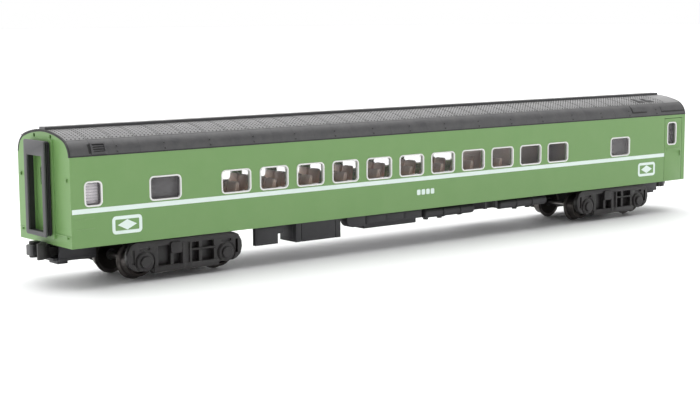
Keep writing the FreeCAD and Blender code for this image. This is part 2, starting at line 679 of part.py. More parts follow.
def partitions():
    """Cross walls with a doorway each, and a corridor wall between two of them."""
    foot = TRAY_FLOOR_Z + TRAY_THICKNESS
    half_y = WALL_INNER_Y - GLAZING_WALL - 3 * FIT
    walls = []
    for x in PARTITION_X:
        wall = block(x, x + PARTITION_THICKNESS, -half_y, half_y, foot, PARTITION_TOP)
        doorway = block(x - 1, x + PARTITION_THICKNESS + 1, -DOORWAY_HALF, DOORWAY_HALF,
                        foot + FIT, PARTITION_TOP - LINTEL)
        walls.append(wall.cut(doorway))
    x0 = PARTITION_X[2] + PARTITION_THICKNESS + FIT
    walls.append(block(x0, PARTITION_X[3] - FIT, DOORWAY_HALF + 0.1,
                       DOORWAY_HALF + 0.1 + PARTITION_THICKNESS, foot, PARTITION_TOP))
    return grouped(walls)


def ballast_weight():
    return block(-WEIGHT_LENGTH / 2, WEIGHT_LENGTH / 2, -WEIGHT_WIDTH / 2, WEIGHT_WIDTH / 2,
                 UNDERFRAME_TOP, UNDERFRAME_TOP + WEIGHT_THICKNESS)


# ---- underframe ----
def underframe():
    plate = block(-UNDERFRAME_END, UNDERFRAME_END, -UNDERFRAME_HALF_Y, UNDERFRAME_HALF_Y,
                  BODY_BOTTOM, UNDERFRAME_TOP)
    pieces = [plate]
    for x in TRUCK_CENTRES.values():
        pad_low = TRUCK_TOP + CENTRE_PAD_PLAY
        pieces.append(rod(CENTRE_PAD_R, (x, 0, pad_low), UP, BODY_BOTTOM - pad_low + FIT))
        pieces.append(rod(CENTRE_PAD_R, (x, 0, UNDERFRAME_TOP - FIT), UP, KINGPIN_SEAT + FIT))
    frame = joined(pieces)
    for x in TRUCK_CENTRES.values():
        frame = frame.cut(rod(KINGPIN_R + FIT / 3, (x, 0, TRUCK_TOP - 1), UP, KINGPIN_SEAT + 10))
    for side in (-1, 1):
        screw_x = side * (DRAFT_BOX_X[0] + DRAFT_BOX_WALL + LID_SCREW_R + 0.2)
        frame = frame.cut(rod(LID_SCREW_R + FIT / 3, (screw_x, 0, BODY_BOTTOM - 1), UP, 3))
    return frame


def kingpin():
    """Shouldered screw that holds a truck: head below the bolster, shank up to its boss."""
    head_top = BOLSTER_LOW - CENTRE_PAD_PLAY
    head = rod(KINGPIN_HEAD_R, (0, 0, head_top - KINGPIN_HEAD_HEIGHT), UP, KINGPIN_HEAD_HEIGHT)
    slot = block(-KINGPIN_HEAD_R, KINGPIN_HEAD_R, -0.2, 0.2, head_top - KINGPIN_HEAD_HEIGHT - 1,
                 head_top - KINGPIN_HEAD_HEIGHT + 0.3)
    shank = rod(KINGPIN_R, (0, 0, head_top - FIT), UP, UNDERFRAME_TOP + KINGPIN_SEAT - head_top + FIT)
    return joined([head.cut(slot), shank])


def kingpins():
    return grouped([moved(kingpin(), x) for x in TRUCK_CENTRES.values()])


def opposite_pair(shape):
    """The same box on the other side, turned half round about the coach's middle."""
    return grouped([shape, turned(shape)])


def box_lid(x0, x1, low, margin):
    """Raised lid or door on the outer face of a box that hangs from the body's lower edge."""
    return block(x0 + margin, x1 - margin, -BOX_FACE_Y - BOX_LID_PROUD, -BOX_FACE_Y + BOX_LID_SINK,
                 low + margin, BODY_BOTTOM - margin)


def battery_boxes():
    x0, x1 = BATTERY_X
    case = block(x0, x1, -BOX_FACE_Y, -BOX_FACE_Y + BATTERY_DEPTH, BATTERY_LOW, BODY_BOTTOM)
    bracket = block(x1, x1 + BRACKET_LENGTH, -BOX_FACE_Y + BRACKET_Y[0], -BOX_FACE_Y + BRACKET_Y[1],
                    BRACKET_LOW, BODY_BOTTOM)
    lid = box_lid(x0, x1, BATTERY_LOW, BATTERY_LID_MARGIN)
    return opposite_pair(joined([case, bracket, lid]))


def cooling_units():
    x0, x1 = COOLER_X
    case = block(x0, x1, -BOX_FACE_Y, -BOX_FACE_Y + COOLER_DEPTH, COOLER_LOW, BODY_BOTTOM)
    for end in (x0 + COOLER_SEAM_IN, x1 - COOLER_SEAM_IN):
        seam_top = BODY_BOTTOM - COOLER_SEAM_STOP
        case = case.cut(block(end - COOLER_SEAM_HALF, end + COOLER_SEAM_HALF, -BOX_FACE_Y - 1,
                              -BOX_FACE_Y + COOLER_SEAM_DEPTH, COOLER_LOW - 1, seam_top))
    end_panel = block(x0 - COOLER_PANEL_PROUD, x0 + BOX_LID_SINK, -BOX_FACE_Y + COOLER_PANEL_IN,
                      -BOX_FACE_Y + COOLER_DEPTH - COOLER_PANEL_IN,
                      COOLER_LOW + COOLER_PANEL_MARGIN, BODY_BOTTOM - COOLER_PANEL_MARGIN)
    return opposite_pair(joined([case, end_panel]))


def regulator_cases():
    """Small case beside a quarter-round trough end."""
    x0, x1 = REGULATOR_X
    case = block(x0, x1, -BOX_FACE_Y, -BOX_FACE_Y + REGULATOR_DEPTH, REGULATOR_LOW, BODY_BOTTOM)
    radius = TROUGH_X[1] - TROUGH_X[0]
    drum = rod(radius, (TROUGH_X[1], -BOX_FACE_Y, REGULATOR_LOW + radius), ACROSS, REGULATOR_DEPTH)
    half = block(TROUGH_X[0], TROUGH_X[1], -BOX_FACE_Y, -BOX_FACE_Y + REGULATOR_DEPTH,
                 REGULATOR_LOW, REGULATOR_LOW + radius)
    neck = block(TROUGH_X[0], TROUGH_X[1], -BOX_FACE_Y, -BOX_FACE_Y + REGULATOR_DEPTH,
                 REGULATOR_LOW + radius, BODY_BOTTOM)
    return opposite_pair(joined([case, drum.common(half), neck]))


def equipment_lockers():
    x0, x1 = LOCKER_X
    front = block(x0, x1, -BOX_FACE_Y, -BOX_FACE_Y + LOCKER_DEPTH, LOCKER_FRONT_LOW, BODY_BOTTOM)
    keel = block(x0 + LOCKER_KEEL_IN, x1 - LOCKER_KEEL_IN, -BOX_FACE_Y + LOCKER_STEP,
                 -BOX_FACE_Y + LOCKER_DEPTH, LOCKER_LOW, BODY_BOTTOM)
    doors = []
    width = (x1 - x0) / LOCKER_DOORS
    for i in range(LOCKER_DOORS):
        doors.append(box_lid(x0 + i * width, x0 + (i + 1) * width, LOCKER_FRONT_LOW, LOCKER_DOOR_MARGIN))
    return opposite_pair(joined([front, keel] + doors))


def air_tanks():
    tanks = []
    centre_y = -BOX_FACE_Y + TANK_R
    for x0, x1 in TANK_X:
        tank = rod(TANK_R, (x0, centre_y, TANK_Z), ALONG, x1 - x0)
        rims = [edge for edge in tank.Edges if edge.BoundBox.XLength < 1e-6]
        tanks.append(tank.makeFillet(TANK_R * 0.35, rims))
    return grouped(tanks + [turned(tank) for tank in tanks])


def tank_straps():
    """Bands round the tanks, hung from the underframe."""
    straps = []
    centre_y = -BOX_FACE_Y + TANK_R
    for places in TANK_STRAPS_X:
        for x in places:
            start = (x, centre_y, TANK_Z)
            band = rod(TANK_R + STRAP_WALL, start, ALONG, STRAP_WIDTH)
            post = block(x, x + STRAP_WIDTH, centre_y - 0.35, centre_y + 0.35, TANK_Z, BODY_BOTTOM)
            hole = rod(TANK_R + FIT / 3, (x - 1, centre_y, TANK_Z), ALONG, STRAP_WIDTH + 2)
            straps.append(joined([band, post]).cut(hole))
    for x in HANGER_X:
        straps.append(block(x, x + STRAP_WIDTH, centre_y - 0.5, centre_y + 0.5, HANGER_LOW, BODY_BOTTOM))
    return grouped(straps + [turned(strap) for strap in straps])


def valve_gear():
    """Valves and fittings behind and below the tanks."""
    lumps = []
    low_y = -BOX_FACE_Y + 2 * TANK_R + STRAP_WALL + 0.3
    for x, width in LUMP_X:
        body = block(x, x + width, low_y, low_y + 1.6, LUMP_LOW + 0.5, BODY_BOTTOM)
        foot = rod(0.55, (x + width / 2, low_y + 0.8, LUMP_LOW), UP, 1.0)
        lumps.append(joined([body, foot]))
    return grouped(lumps + [turned(lump) for lump in lumps])


def train_pipes():
    """Brake and steam pipes along the underframe, with hangers."""
    pipes = []
    for side in (-1, 1):
        y = side * PIPE_Y
        pipe = rod(PIPE_R, (PIPE_X[0], y, PIPE_Z), ALONG, PIPE_X[1] - PIPE_X[0])
        hangers = []
        for i in range(PIPE_HANGERS):
            x = PIPE_X[0] + (i + 0.5) * (PIPE_X[1] - PIPE_X[0]) / PIPE_HANGERS
            hangers.append(block(x, x + 0.5, y - 0.2, y + 0.2, PIPE_Z, BODY_BOTTOM))
        pipes.append(joined([pipe] + hangers))
    return grouped(pipes)


# ---- trucks: built about their own centre, outboard end towards +X ----
def truck_bolster():
    bolster = block(-BOLSTER_HALF_X, BOLSTER_HALF_X, -FRAME_INNER_Y, FRAME_INNER_Y, BOLSTER_LOW, TRUCK_TOP)
    transom = block(-TRANSOM_HALF_X, TRANSOM_HALF_X, -TRANSOM_HALF_Y, TRANSOM_HALF_Y,
                    BOLSTER_LOW, TRUCK_TOP - TRANSOM_DROP)
    planks = []
    for side in (-1, 1):
        planks.append(block(-PLANK_HALF_X, PLANK_HALF_X, side * FRAME_INNER_Y,
                            side * (FRAME_INNER_Y - PLANK_THICKNESS), PLANK_LOW, TRUCK_TOP - TRANSOM_DROP))
    frame = joined([bolster, transom] + planks)
    return frame.cut(rod(KINGPIN_R + KINGPIN_PLAY, (0, 0, BOLSTER_LOW - 1), UP, 6))


def side_frame_outline():
    """Right half of the cast side frame's outer edge, from the top middle to the bottom middle."""
    journal = WHEELBASE / 2
    return [(0, TRUCK_TOP), (FRAME_END - 1.8, TRUCK_TOP), (FRAME_END - 0.8, TRUCK_TOP - 0.45),
            (FRAME_END - 0.1, TRUCK_TOP - 1.7), (FRAME_END, WHEEL_Z + 0.74),
            (FRAME_END - 0.4, WHEEL_Z - 0.56), (FRAME_END - 1.3, WHEEL_Z - 1.26),
            (journal + 1.3, WHEEL_Z - 1.56), (journal - 1.4, WHEEL_Z - 1.56),
            (EQUALIZER_HALF, EQUALIZER_LOW), (0, EQUALIZER_LOW)]


def side_frame():
    """Cast side frame on the -Y side, with pedestals, windows, equalizer bar and hangers."""
    half = side_frame_outline()
    left = [(-x, z) for x, z in reversed(half[1:-1])]
    y0 = -FRAME_OUTER_Y
    y1 = -FRAME_INNER_Y
    plate = plate_xz(half + left, y0, y1)
    equalizer_top = EQUALIZER_LOW + EQUALIZER_RISE
    cuts = []
    for side in (-1, 1):
        journal = side * WHEELBASE / 2
        for near, far in FRAME_WINDOWS_X:
            cuts.append(block(side * near, side * far, y0 - 1, y1 + 1, equalizer_top, TOP_BEAM_LOW))
        cuts.append(block(journal + side * PEDESTAL_HALF, journal + side * (PEDESTAL_HALF + PEDESTAL_SLOT),
                          y0 - 1, y1 + 1, WHEEL_Z - PEDESTAL_SLOT / 2, TOP_BEAM_LOW - PEDESTAL_GROOVE))
        ring = rod(PEDESTAL_HALF, (journal, y0 - PEDESTAL_GROOVE_DEPTH, WHEEL_Z), ACROSS,
                   2 * PEDESTAL_GROOVE_DEPTH)
        cuts.append(ring.cut(rod(PEDESTAL_HALF - PEDESTAL_GROOVE, (journal, y0 - 1, WHEEL_Z), ACROSS, 3)))
        cuts.append(rounded_panel_xz(journal - SPRING_POCKET_HALF_X, journal + SPRING_POCKET_HALF_X,
                                     WHEEL_Z + SPRING_POCKET_LOW, WHEEL_Z + SPRING_POCKET_HIGH,
                                     SPRING_POCKET_R, y0 - 1, y0 + SPRING_POCKET_DEPTH))
        cup = (journal, y1 - CUP_DEPTH + 0.2, WHEEL_Z)
        cuts.append(rod(CUP_R + FIT / 3, cup, ACROSS, CUP_DEPTH + 1))
    plate = plate.cut(grouped(cuts))
    additions = [block(-EQUALIZER_HALF, EQUALIZER_HALF, y0 - EQUALIZER_PROUD, y0 + FIT,
                       EQUALIZER_LOW + FIT, equalizer_top - FIT)]
    for side in (-1, 1):
        journal = side * WHEELBASE / 2
        additions.append(rod(JOURNAL_SEAT_R, (journal, y0 - JOURNAL_SEAT_PROUD, WHEEL_Z), ACROSS,
                             2 * JOURNAL_SEAT_PROUD))
        additions.append(block(side * SWING_HANGER_X[0], side * SWING_HANGER_X[1],
                               y0 - SWING_HANGER_PROUD, y0 + SWING_HANGER_PROUD,
                               EQUALIZER_LOW + SWING_HANGER_PROUD, TOP_BEAM_LOW + FIT))
    rod_start = (SIDE_ROD_X[0], y0 + SIDE_ROD_R / 2, SIDE_ROD_Z)
    additions.append(rod(SIDE_ROD_R, rod_start, ALONG, SIDE_ROD_X[1] - SIDE_ROD_X[0]))
    return joined([plate] + additions)


def truck_side_frames():
    frame = side_frame()
    return grouped([frame, turned(frame)])


def truck_springs():
    """Bolster spring packs, one on each side frame."""
    y0 = -FRAME_OUTER_Y - SPRING_PROUD
    y1 = -FRAME_OUTER_Y - FIT / 3
    x0, x1 = SPRING_BLOCK_X
    pack = rounded_panel_xz(x0, x1, SPRING_BLOCK_LOW, SPRING_BLOCK_HIGH, SPRING_CORNER_R, y0, y1)
    return grouped([pack, turned(pack)])


def journal_covers():
    covers = []
    for side in (-1, 1):
        seat_y = -FRAME_OUTER_Y - JOURNAL_SEAT_PROUD - FIT / 3
        start = (side * WHEELBASE / 2, seat_y - JOURNAL_COVER_DEPTH, WHEEL_Z)
        cover = rod(JOURNAL_COVER_R, start, ACROSS, JOURNAL_COVER_DEPTH)
        rim = [edge for edge in cover.Edges if edge.BoundBox.YLength < 1e-6 and
               edge.BoundBox.YMin < start[1] + 0.1]
        covers.append(cover.makeFillet(JOURNAL_COVER_DEPTH * 0.5, rim))
    return grouped(covers + [mirrored_y(cover) for cover in covers])


def bearing_cups():
    """Brass cups in the side frames, with conical seats for the axle points."""
    cups = []
    tip = AXLE_HALF
    cup_back = FRAME_INNER_Y + CUP_DEPTH - 0.2
    cone_length = AXLE_R / 1.2
    for side in (-1, 1):
        x = side * WHEELBASE / 2
        cup = rod(CUP_R, (x, -cup_back, WHEEL_Z), ACROSS, CUP_DEPTH + 0.1)
        mouth = Part.makeCone(AXLE_NEEDLE_R + NEEDLE_PLAY, AXLE_R + NEEDLE_PLAY, cone_length,
                              FreeCAD.Vector(x, -tip - NEEDLE_PLAY / 2, WHEEL_Z), ACROSS)
        bore_start = (x, -tip - NEEDLE_PLAY / 2 + cone_length, WHEEL_Z)
        bore = rod(AXLE_R + NEEDLE_PLAY, bore_start, ACROSS, CUP_DEPTH)
        cups.append(cup.cut(mouth).cut(bore))
    return grouped(cups + [mirrored_y(cup) for cup in cups])


def axle():
    """Pointed axle across Y at the origin's X."""
    cone_length = AXLE_R / 1.2
    start = FreeCAD.Vector(0, -AXLE_HALF, WHEEL_Z)
    point = Part.makeCone(AXLE_NEEDLE_R, AXLE_R, cone_length, start, ACROSS)
    half = rod(AXLE_R, (0, -AXLE_HALF + cone_length, WHEEL_Z), ACROSS, AXLE_HALF - cone_length)
    side = joined([point, half])
    return joined([side, mirrored_y(side)])


def wheel(bore):
    """Flanged wheel on the -Y side with a dished face, revolved about the axle."""
    back = -WHEEL_BACK_Y
    flange_r = WHEEL_TREAD_R + FLANGE_DEPTH
    outer = back - WHEEL_WIDTH - FLANGE_WIDTH
    outline = [(bore, back), (flange_r - 0.12, back), (flange_r, back - 0.15), (flange_r - 0.1, back - 0.35),
               (WHEEL_TREAD_R + 0.05, back - FLANGE_WIDTH), (WHEEL_TREAD_R - 0.08, outer + 0.1),
               (WHEEL_TREAD_R - 0.2, outer), (WHEEL_TREAD_R - 0.6, outer),
               (WHEEL_TREAD_R - 0.75, outer + WHEEL_DISH), (BUSH_R + 0.35, outer + WHEEL_DISH),
               (BUSH_R + 0.2, outer), (bore, outer)]
    points = [FreeCAD.Vector(radius, y, WHEEL_Z) for radius, y in outline]
    face = Part.Face(Part.makePolygon(points + points[:1]))
    return face.revolve(FreeCAD.Vector(0, 0, WHEEL_Z), ACROSS, 360)


def wheel_pair():
    """One wheel pressed straight on the axle, the other on an insulating bush."""
    plain = wheel(AXLE_R + FIT / 3)
    insulated = mirrored_y(wheel(BUSH_R + FIT / 3))
    return grouped([plain, insulated])


def wheel_bush():
    length = WHEEL_WIDTH + FLANGE_WIDTH
    bush = rod(BUSH_R, (0, WHEEL_BACK_Y, WHEEL_Z), ACROSS, length)
    return bush.cut(rod(AXLE_R + FIT / 3, (0, WHEEL_BACK_Y - 1, WHEEL_Z), ACROSS, length + 2))


# ---- couplers: built for the +X end ----
def coupler_head():
    x, y = KNUCKLE_PIVOT
    eye = rod(EYE_R, (COUPLER_PIVOT_X, 0, SHANK_LOW), UP, EYE_HIGH - SHANK_LOW)
    neck = block(COUPLER_PIVOT_X, COUPLER_PIVOT_X + EYE_R + 0.3, -SHANK_HALF, SHANK_HALF, SHANK_LOW, EYE_HIGH)
    shank = block(COUPLER_PIVOT_X + EYE_R + 0.1, COUPLER_HEAD_X + 0.3, -SHANK_HALF, SHANK_HALF,
                  SHANK_LOW, SHANK_HIGH)
    face_x = x - KNUCKLE_EYE_R - KNUCKLE_GAP
    neck_outline = [(COUPLER_HEAD_X, -SHANK_HALF), (COUPLER_HEAD_X + 0.5, -HEAD_SIDE_Y),
                    (face_x, -HEAD_SIDE_Y),
                    (face_x, 1.80), (COUPLER_HEAD_X, SHANK_HALF)]
    guard_outline = [(HEAD_TALL_X, -HEAD_SIDE_Y), (face_x, -HEAD_SIDE_Y), (face_x, -0.35),
                     (face_x + 0.4, 0.55),
                     (face_x + 0.9, 1.05), (COUPLER_REACH - 0.25, 2.05), (COUPLER_REACH - 0.30, 2.45),
                     (COUPLER_REACH - 1.10, 2.50), (HEAD_TALL_X, 1.65)]
    back = plate_xy(neck_outline, HEAD_LOW, HEAD_NECK_HIGH)
    head = joined([back, plate_xy(guard_outline, HEAD_LOW, HEAD_HIGH)])
    ears = []
    for z0, z1 in ((HEAD_LOW, HEAD_LOW + HEAD_EAR), (HEAD_HIGH - HEAD_EAR, HEAD_HIGH)):
        ears.append(rod(KNUCKLE_EYE_R, (x, y, z0), UP, z1 - z0))
        ears.append(block(face_x - 0.2, x, y - KNUCKLE_EYE_R, y + KNUCKLE_EYE_R, z0, z1))
    pin = rod(KNUCKLE_PIN_R, (x, y, HEAD_LOW), UP, HEAD_HIGH - HEAD_LOW)
    whole = joined([eye, neck, shank, head, pin] + ears)
    return whole.cut(rod(PIVOT_POST_R + PIVOT_PLAY, (COUPLER_PIVOT_X, 0, SHANK_LOW - 1), UP, 4))


def coupler_knuckle():
    """Hook that turns on the head's pin, its nose across the coupler's mouth."""
    x, y = KNUCKLE_PIVOT
    low = HEAD_LOW + HEAD_EAR + KNUCKLE_PLAY
    high = HEAD_HIGH - HEAD_EAR - KNUCKLE_PLAY
    eye = rod(KNUCKLE_EYE_R, (x, y, low), UP, high - low)
    nose_x = COUPLER_REACH
    arm = plate_xy([(x, y - KNUCKLE_EYE_R), (nose_x - 0.55, y - KNUCKLE_EYE_R + 0.1), (nose_x, y - 0.1),
                    (nose_x, 0.05), (nose_x - 0.3, 0.35), (nose_x - 0.75, 0.3), (nose_x - 0.85, -0.1),
                    (x + 0.2, y + KNUCKLE_EYE_R - 0.05)], low, high)
    hook = joined([eye, arm])
    return hook.cut(rod(KNUCKLE_PIN_R + KNUCKLE_PLAY, (x, y, low - 1), UP, 5))


def draft_box():
    """Coupler box under the body end: roof, side walls, rear wall and pivot post."""
    x0, x1 = DRAFT_BOX_X
    lid_top = DRAFT_LID_LOW + DRAFT_LID_THICKNESS
    outer = block(x0, x1, -DRAFT_BOX_HALF, DRAFT_BOX_HALF, lid_top, BODY_BOTTOM)
    inner_half = DRAFT_BOX_HALF - DRAFT_BOX_WALL
    roof_low = BODY_BOTTOM - DRAFT_BOX_CEILING
    cavity = block(x0 + 3 * DRAFT_BOX_WALL, x1 + 1, -inner_half, inner_half, lid_top - 1, roof_low)
    post = rod(PIVOT_POST_R, (COUPLER_PIVOT_X, 0, lid_top), UP, roof_low - lid_top + FIT)
    box = joined([outer.cut(cavity), post])
    return box.cut(rod(LID_SCREW_R + FIT / 3, (LID_SCREW_X, 0, lid_top - 1), UP, 5))


def draft_box_lid():
    x0, x1 = DRAFT_BOX_X
    top = DRAFT_LID_LOW + DRAFT_LID_THICKNESS
    plate = block(x0, x1, -DRAFT_BOX_HALF, DRAFT_BOX_HALF, DRAFT_LID_LOW, top)
    lip = block(x1 - DRAFT_PAD_LENGTH, DRAFT_LIP_X, -DRAFT_LIP_HALF, DRAFT_LIP_HALF, DRAFT_LID_LOW, top)
    pad = block(x1 - DRAFT_PAD_LENGTH, x1 - 2 * FIT, -DRAFT_LIP_HALF, DRAFT_LIP_HALF,
                DRAFT_LID_LOW - DRAFT_PAD_DROP, top)
    hole = rod(LID_SCREW_R + FIT / 3, (LID_SCREW_X, 0, DRAFT_LID_LOW - 1), UP, 5)
    return joined([plate, lip, pad]).cut(hole)


def lid_screw():
    x = LID_SCREW_X
    shank = rod(LID_SCREW_R, (x, 0, DRAFT_LID_LOW), UP, UNDERFRAME_TOP - DRAFT_LID_LOW)
    head_low = DRAFT_LID_LOW - LID_SCREW_HEAD - FIT / 3
    head = rod(LID_SCREW_R + LID_SCREW_RIM, (x, 0, head_low), UP, LID_SCREW_HEAD)
    link = rod(LID_SCREW_R - FIT, (x, 0, DRAFT_LID_LOW - 2 * FIT), UP, 4 * FIT)
    slot = block(x - 1, x + 1, -LID_SCREW_SLOT_HALF, LID_SCREW_SLOT_HALF, DRAFT_LID_LOW - 1,
                 DRAFT_LID_LOW - LID_SCREW_HEAD / 2)
    return joined([shank, head, link]).cut(slot)


def centring_spring():
    """Close-wound torsion spring round the pivot post, above the coupler's eye."""
    coil_r = PIVOT_POST_R + PIVOT_PLAY + CENTRING_WIRE_R + 0.05
    first = EYE_HIGH + FIT + CENTRING_WIRE_R
    turns = []
    for i in range(CENTRING_TURNS):
        centre = FreeCAD.Vector(COUPLER_PIVOT_X, 0, first + i * CENTRING_PITCH)
        turns.append(Part.makeTorus(coil_r, CENTRING_WIRE_R, centre, UP))
    return joined(turns)


def at_both_ends(shape):
    return grouped([turned(shape), shape])


# ---- the nodes ----
def truck_nodes(name, centre):
    """Every node of one truck, at its place. Truck a is turned so its outboard end faces -X."""
    angle = 180.0 if centre < 0 else 0.0

    def placed(shape):
        return moved(turned(shape, angle), centre)

    nodes = {
        "truck_%s_bolster" % name: placed(truck_bolster()),
        "truck_%s_side_frames" % name: placed(truck_side_frames()),
        "truck_%s_springs" % name: placed(truck_springs()),
        "truck_%s_journal_covers" % name: placed(journal_covers()),
        "truck_%s_bearing_cups" % name: placed(bearing_cups()),
    }
    for number, offset in ((1, -WHEELBASE / 2), (2, WHEELBASE / 2)):
        place = centre + offset
        nodes["axle_%s%d" % (name, number)] = moved(axle(), place)
        nodes["wheels_%s%d" % (name, number)] = moved(wheel_pair(), place)
        nodes["bush_%s%d" % (name, number)] = moved(wheel_bush(), place)
    return nodes


def all_nodes():
    nodes = {
        "body_shell": body_shell(),
        "roof": roof(),
        "roof_ridge": roof_ridge(),
        "roof_vents": roof_vents(),
        "window_frames": window_frames(),
        "side_glazing": side_glazing(),
        "blank_panes": blank_panes(),
        "side_doors": side_doors(),
        "door_panes": door_panes(),
        "door_window_frames": door_window_frames(),
        "end_doors": at_both_ends(end_door()),
        "end_door_panes": end_door_panes(),
        "bellows": at_both_ends(bellows()),
        "face_plates": at_both_ends(face_plate()),
        "interior_tray": interior_tray(),
        "seats": seats(),
        "partitions": partitions(),
        "ballast_weight": ballast_weight(),
        "underframe": underframe(),
        "kingpins": kingpins(),
        "battery_boxes": battery_boxes(),
        "cooling_units": cooling_units(),
        "regulator_cases": regulator_cases(),
        "equipment_lockers": equipment_lockers(),
        "air_tanks": air_tanks(),
        "tank_straps": tank_straps(),
        "valve_gear": valve_gear(),
        "train_pipes": train_pipes(),
        "draft_boxes": at_both_ends(draft_box()),
        "draft_box_lids": at_both_ends(draft_box_lid()),
        "lid_screws": at_both_ends(lid_screw()),
        "centring_springs": at_both_ends(centring_spring()),
        "coupler_a": turned(coupler_head()),
        "coupler_b": coupler_head(),
        "knuckle_a": turned(coupler_knuckle()),
        "knuckle_b": coupler_knuckle(),
    }
    for name, centre in TRUCK_CENTRES.items():
        nodes.update(truck_nodes(name, centre))
    return nodes


os.makedirs(OUTPUT_FOLDER, exist_ok=True)
for node, shape in all_nodes().items():
    shape.exportStep(os.path.join(OUTPUT_FOLDER, node + ".step"))
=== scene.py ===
import json
import math
import bmesh
import bpy
from mathutils import Matrix, Vector

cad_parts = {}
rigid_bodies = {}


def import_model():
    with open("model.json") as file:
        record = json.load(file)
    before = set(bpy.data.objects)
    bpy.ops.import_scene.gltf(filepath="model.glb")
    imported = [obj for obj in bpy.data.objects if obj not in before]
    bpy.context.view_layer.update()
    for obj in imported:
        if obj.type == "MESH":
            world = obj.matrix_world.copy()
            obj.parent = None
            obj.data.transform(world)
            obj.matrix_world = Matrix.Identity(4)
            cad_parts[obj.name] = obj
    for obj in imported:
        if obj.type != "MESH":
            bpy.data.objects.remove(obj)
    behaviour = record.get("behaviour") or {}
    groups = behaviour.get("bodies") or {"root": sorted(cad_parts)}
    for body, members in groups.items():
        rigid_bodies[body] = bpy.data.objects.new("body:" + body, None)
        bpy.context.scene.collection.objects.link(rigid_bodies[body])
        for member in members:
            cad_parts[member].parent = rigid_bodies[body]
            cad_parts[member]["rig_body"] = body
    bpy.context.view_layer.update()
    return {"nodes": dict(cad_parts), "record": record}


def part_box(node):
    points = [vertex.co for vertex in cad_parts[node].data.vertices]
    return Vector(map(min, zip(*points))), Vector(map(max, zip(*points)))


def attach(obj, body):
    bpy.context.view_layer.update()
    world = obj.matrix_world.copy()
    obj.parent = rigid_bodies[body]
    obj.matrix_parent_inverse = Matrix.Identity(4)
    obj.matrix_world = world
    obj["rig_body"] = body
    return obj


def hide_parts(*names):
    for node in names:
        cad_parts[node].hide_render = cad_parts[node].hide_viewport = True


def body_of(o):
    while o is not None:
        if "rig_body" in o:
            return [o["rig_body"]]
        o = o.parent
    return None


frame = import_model()

MM = 0.001

# ---- places: the roof and the body bottom come from the frame ----
ROOF_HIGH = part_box("roof")[1]
BODY_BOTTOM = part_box("body_shell")[0].z
SIDE_Y = 9.5 * MM
HALF_LENGTH = ROOF_HIGH.x
CROWN_Z = ROOF_HIGH.z

# ---- roof curve: a corner arc at each side, and one wide arc over the top ----
CORNER_R = 3.6 * MM
CROWN_R = 22.4 * MM
CORNER_Y = SIDE_Y - CORNER_R
CORNER_LEAN = math.asin(CORNER_Y / (CROWN_R - CORNER_R))
CORNER_Z = CROWN_Z - CROWN_R + (CROWN_R - CORNER_R) * math.cos(CORNER_LEAN)
CORNER_ARC = CORNER_R * (math.pi / 2 - CORNER_LEAN)
EAVE_ARC = CORNER_R * math.asin((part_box("roof")[0].z - CORNER_Z) / CORNER_R)


# ---- camera, floor and lights ----
CAMERA_PLACE = Vector((-0.195853, -0.226349, 0.045670))
CAMERA_AZIMUTH = math.radians(-38.893)
CAMERA_ELEVATION = math.radians(7.514)
CAMERA_ROLL = math.radians(-0.327)
CAMERA_LENS = 74.6
SENSOR = 36.0
CLIP_NEAR = 0.005
CLIP_FAR = 10.0
FLOOR_HALF = 6.0
FLOOR_COLOUR = (0.94, 0.94, 0.95, 1)
FLOOR_ROUGHNESS = 0.6
GLOW_SPREAD = 0.7
FRONT_GLOW = 0.30
BACK_GLOW = 1.55
SEEN_GLOW = 1.0
OVERHEAD_POWER = 1.7
OVERHEAD_SPREAD = math.radians(70)
OVERHEAD_TURN = (math.radians(-8), math.radians(6), 0)
FRONT_SOFT_PLACE = (0.42, -0.55, 0.25)
FRONT_SOFT_TARGET = (0, 0, 0.015)
FRONT_SOFT_SIZE = (0.6, 0.35)
FRONT_SOFT_POWER = 0.70


def make_camera():
    data = bpy.data.cameras.new("studio_camera")
    data.lens = CAMERA_LENS
    data.sensor_width = SENSOR
    data.clip_start = CLIP_NEAR
    data.clip_end = CLIP_FAR
    camera = bpy.data.objects.new("studio_camera", data)
    bpy.context.collection.objects.link(camera)
    flat = math.cos(CAMERA_ELEVATION)
    back = Vector((math.sin(CAMERA_AZIMUTH) * flat, -math.cos(CAMERA_AZIMUTH) * flat,
                   math.sin(CAMERA_ELEVATION)))
    right = Vector((0, 0, 1)).cross(back).normalized()
    up = back.cross(right)
    rolled_right = right * math.cos(CAMERA_ROLL) + up * math.sin(CAMERA_ROLL)
    rolled_up = up * math.cos(CAMERA_ROLL) - right * math.sin(CAMERA_ROLL)
    turn = Matrix((rolled_right, rolled_up, back)).transposed().to_4x4()
    camera.matrix_world = Matrix.Translation(CAMERA_PLACE) @ turn
    bpy.context.scene.camera = camera


def area_light(name, place, target, size, power):
    data = bpy.data.lights.new(name, "AREA")
    data.shape = "RECTANGLE"
    data.size = size[0]
    data.size_y = size[1]
    data.energy = power
    light = bpy.data.objects.new(name, data)
    light.location = place
    aim = Vector(target) - Vector(place)
    light.rotation_euler = aim.to_track_quat("-Z", "Y").to_euler()
    bpy.context.collection.objects.link(light)


def make_floor():
    mesh = bpy.data.meshes.new("studio_floor")
    shape = bmesh.new()
    bmesh.ops.create_grid(shape, x_segments=1, y_segments=1, size=FLOOR_HALF)
    shape.to_mesh(mesh)
    shape.free()
    floor = bpy.data.objects.new("studio_floor", mesh)
    bpy.context.collection.objects.link(floor)
    material = bpy.data.materials.new("pale_floor")
    material.use_nodes = True
    shader = material.node_tree.nodes["Principled BSDF"]
    shader.inputs["Base Color"].default_value = FLOOR_COLOUR
    shader.inputs["Roughness"].default_value = FLOOR_ROUGHNESS
    mesh.materials.append(material)


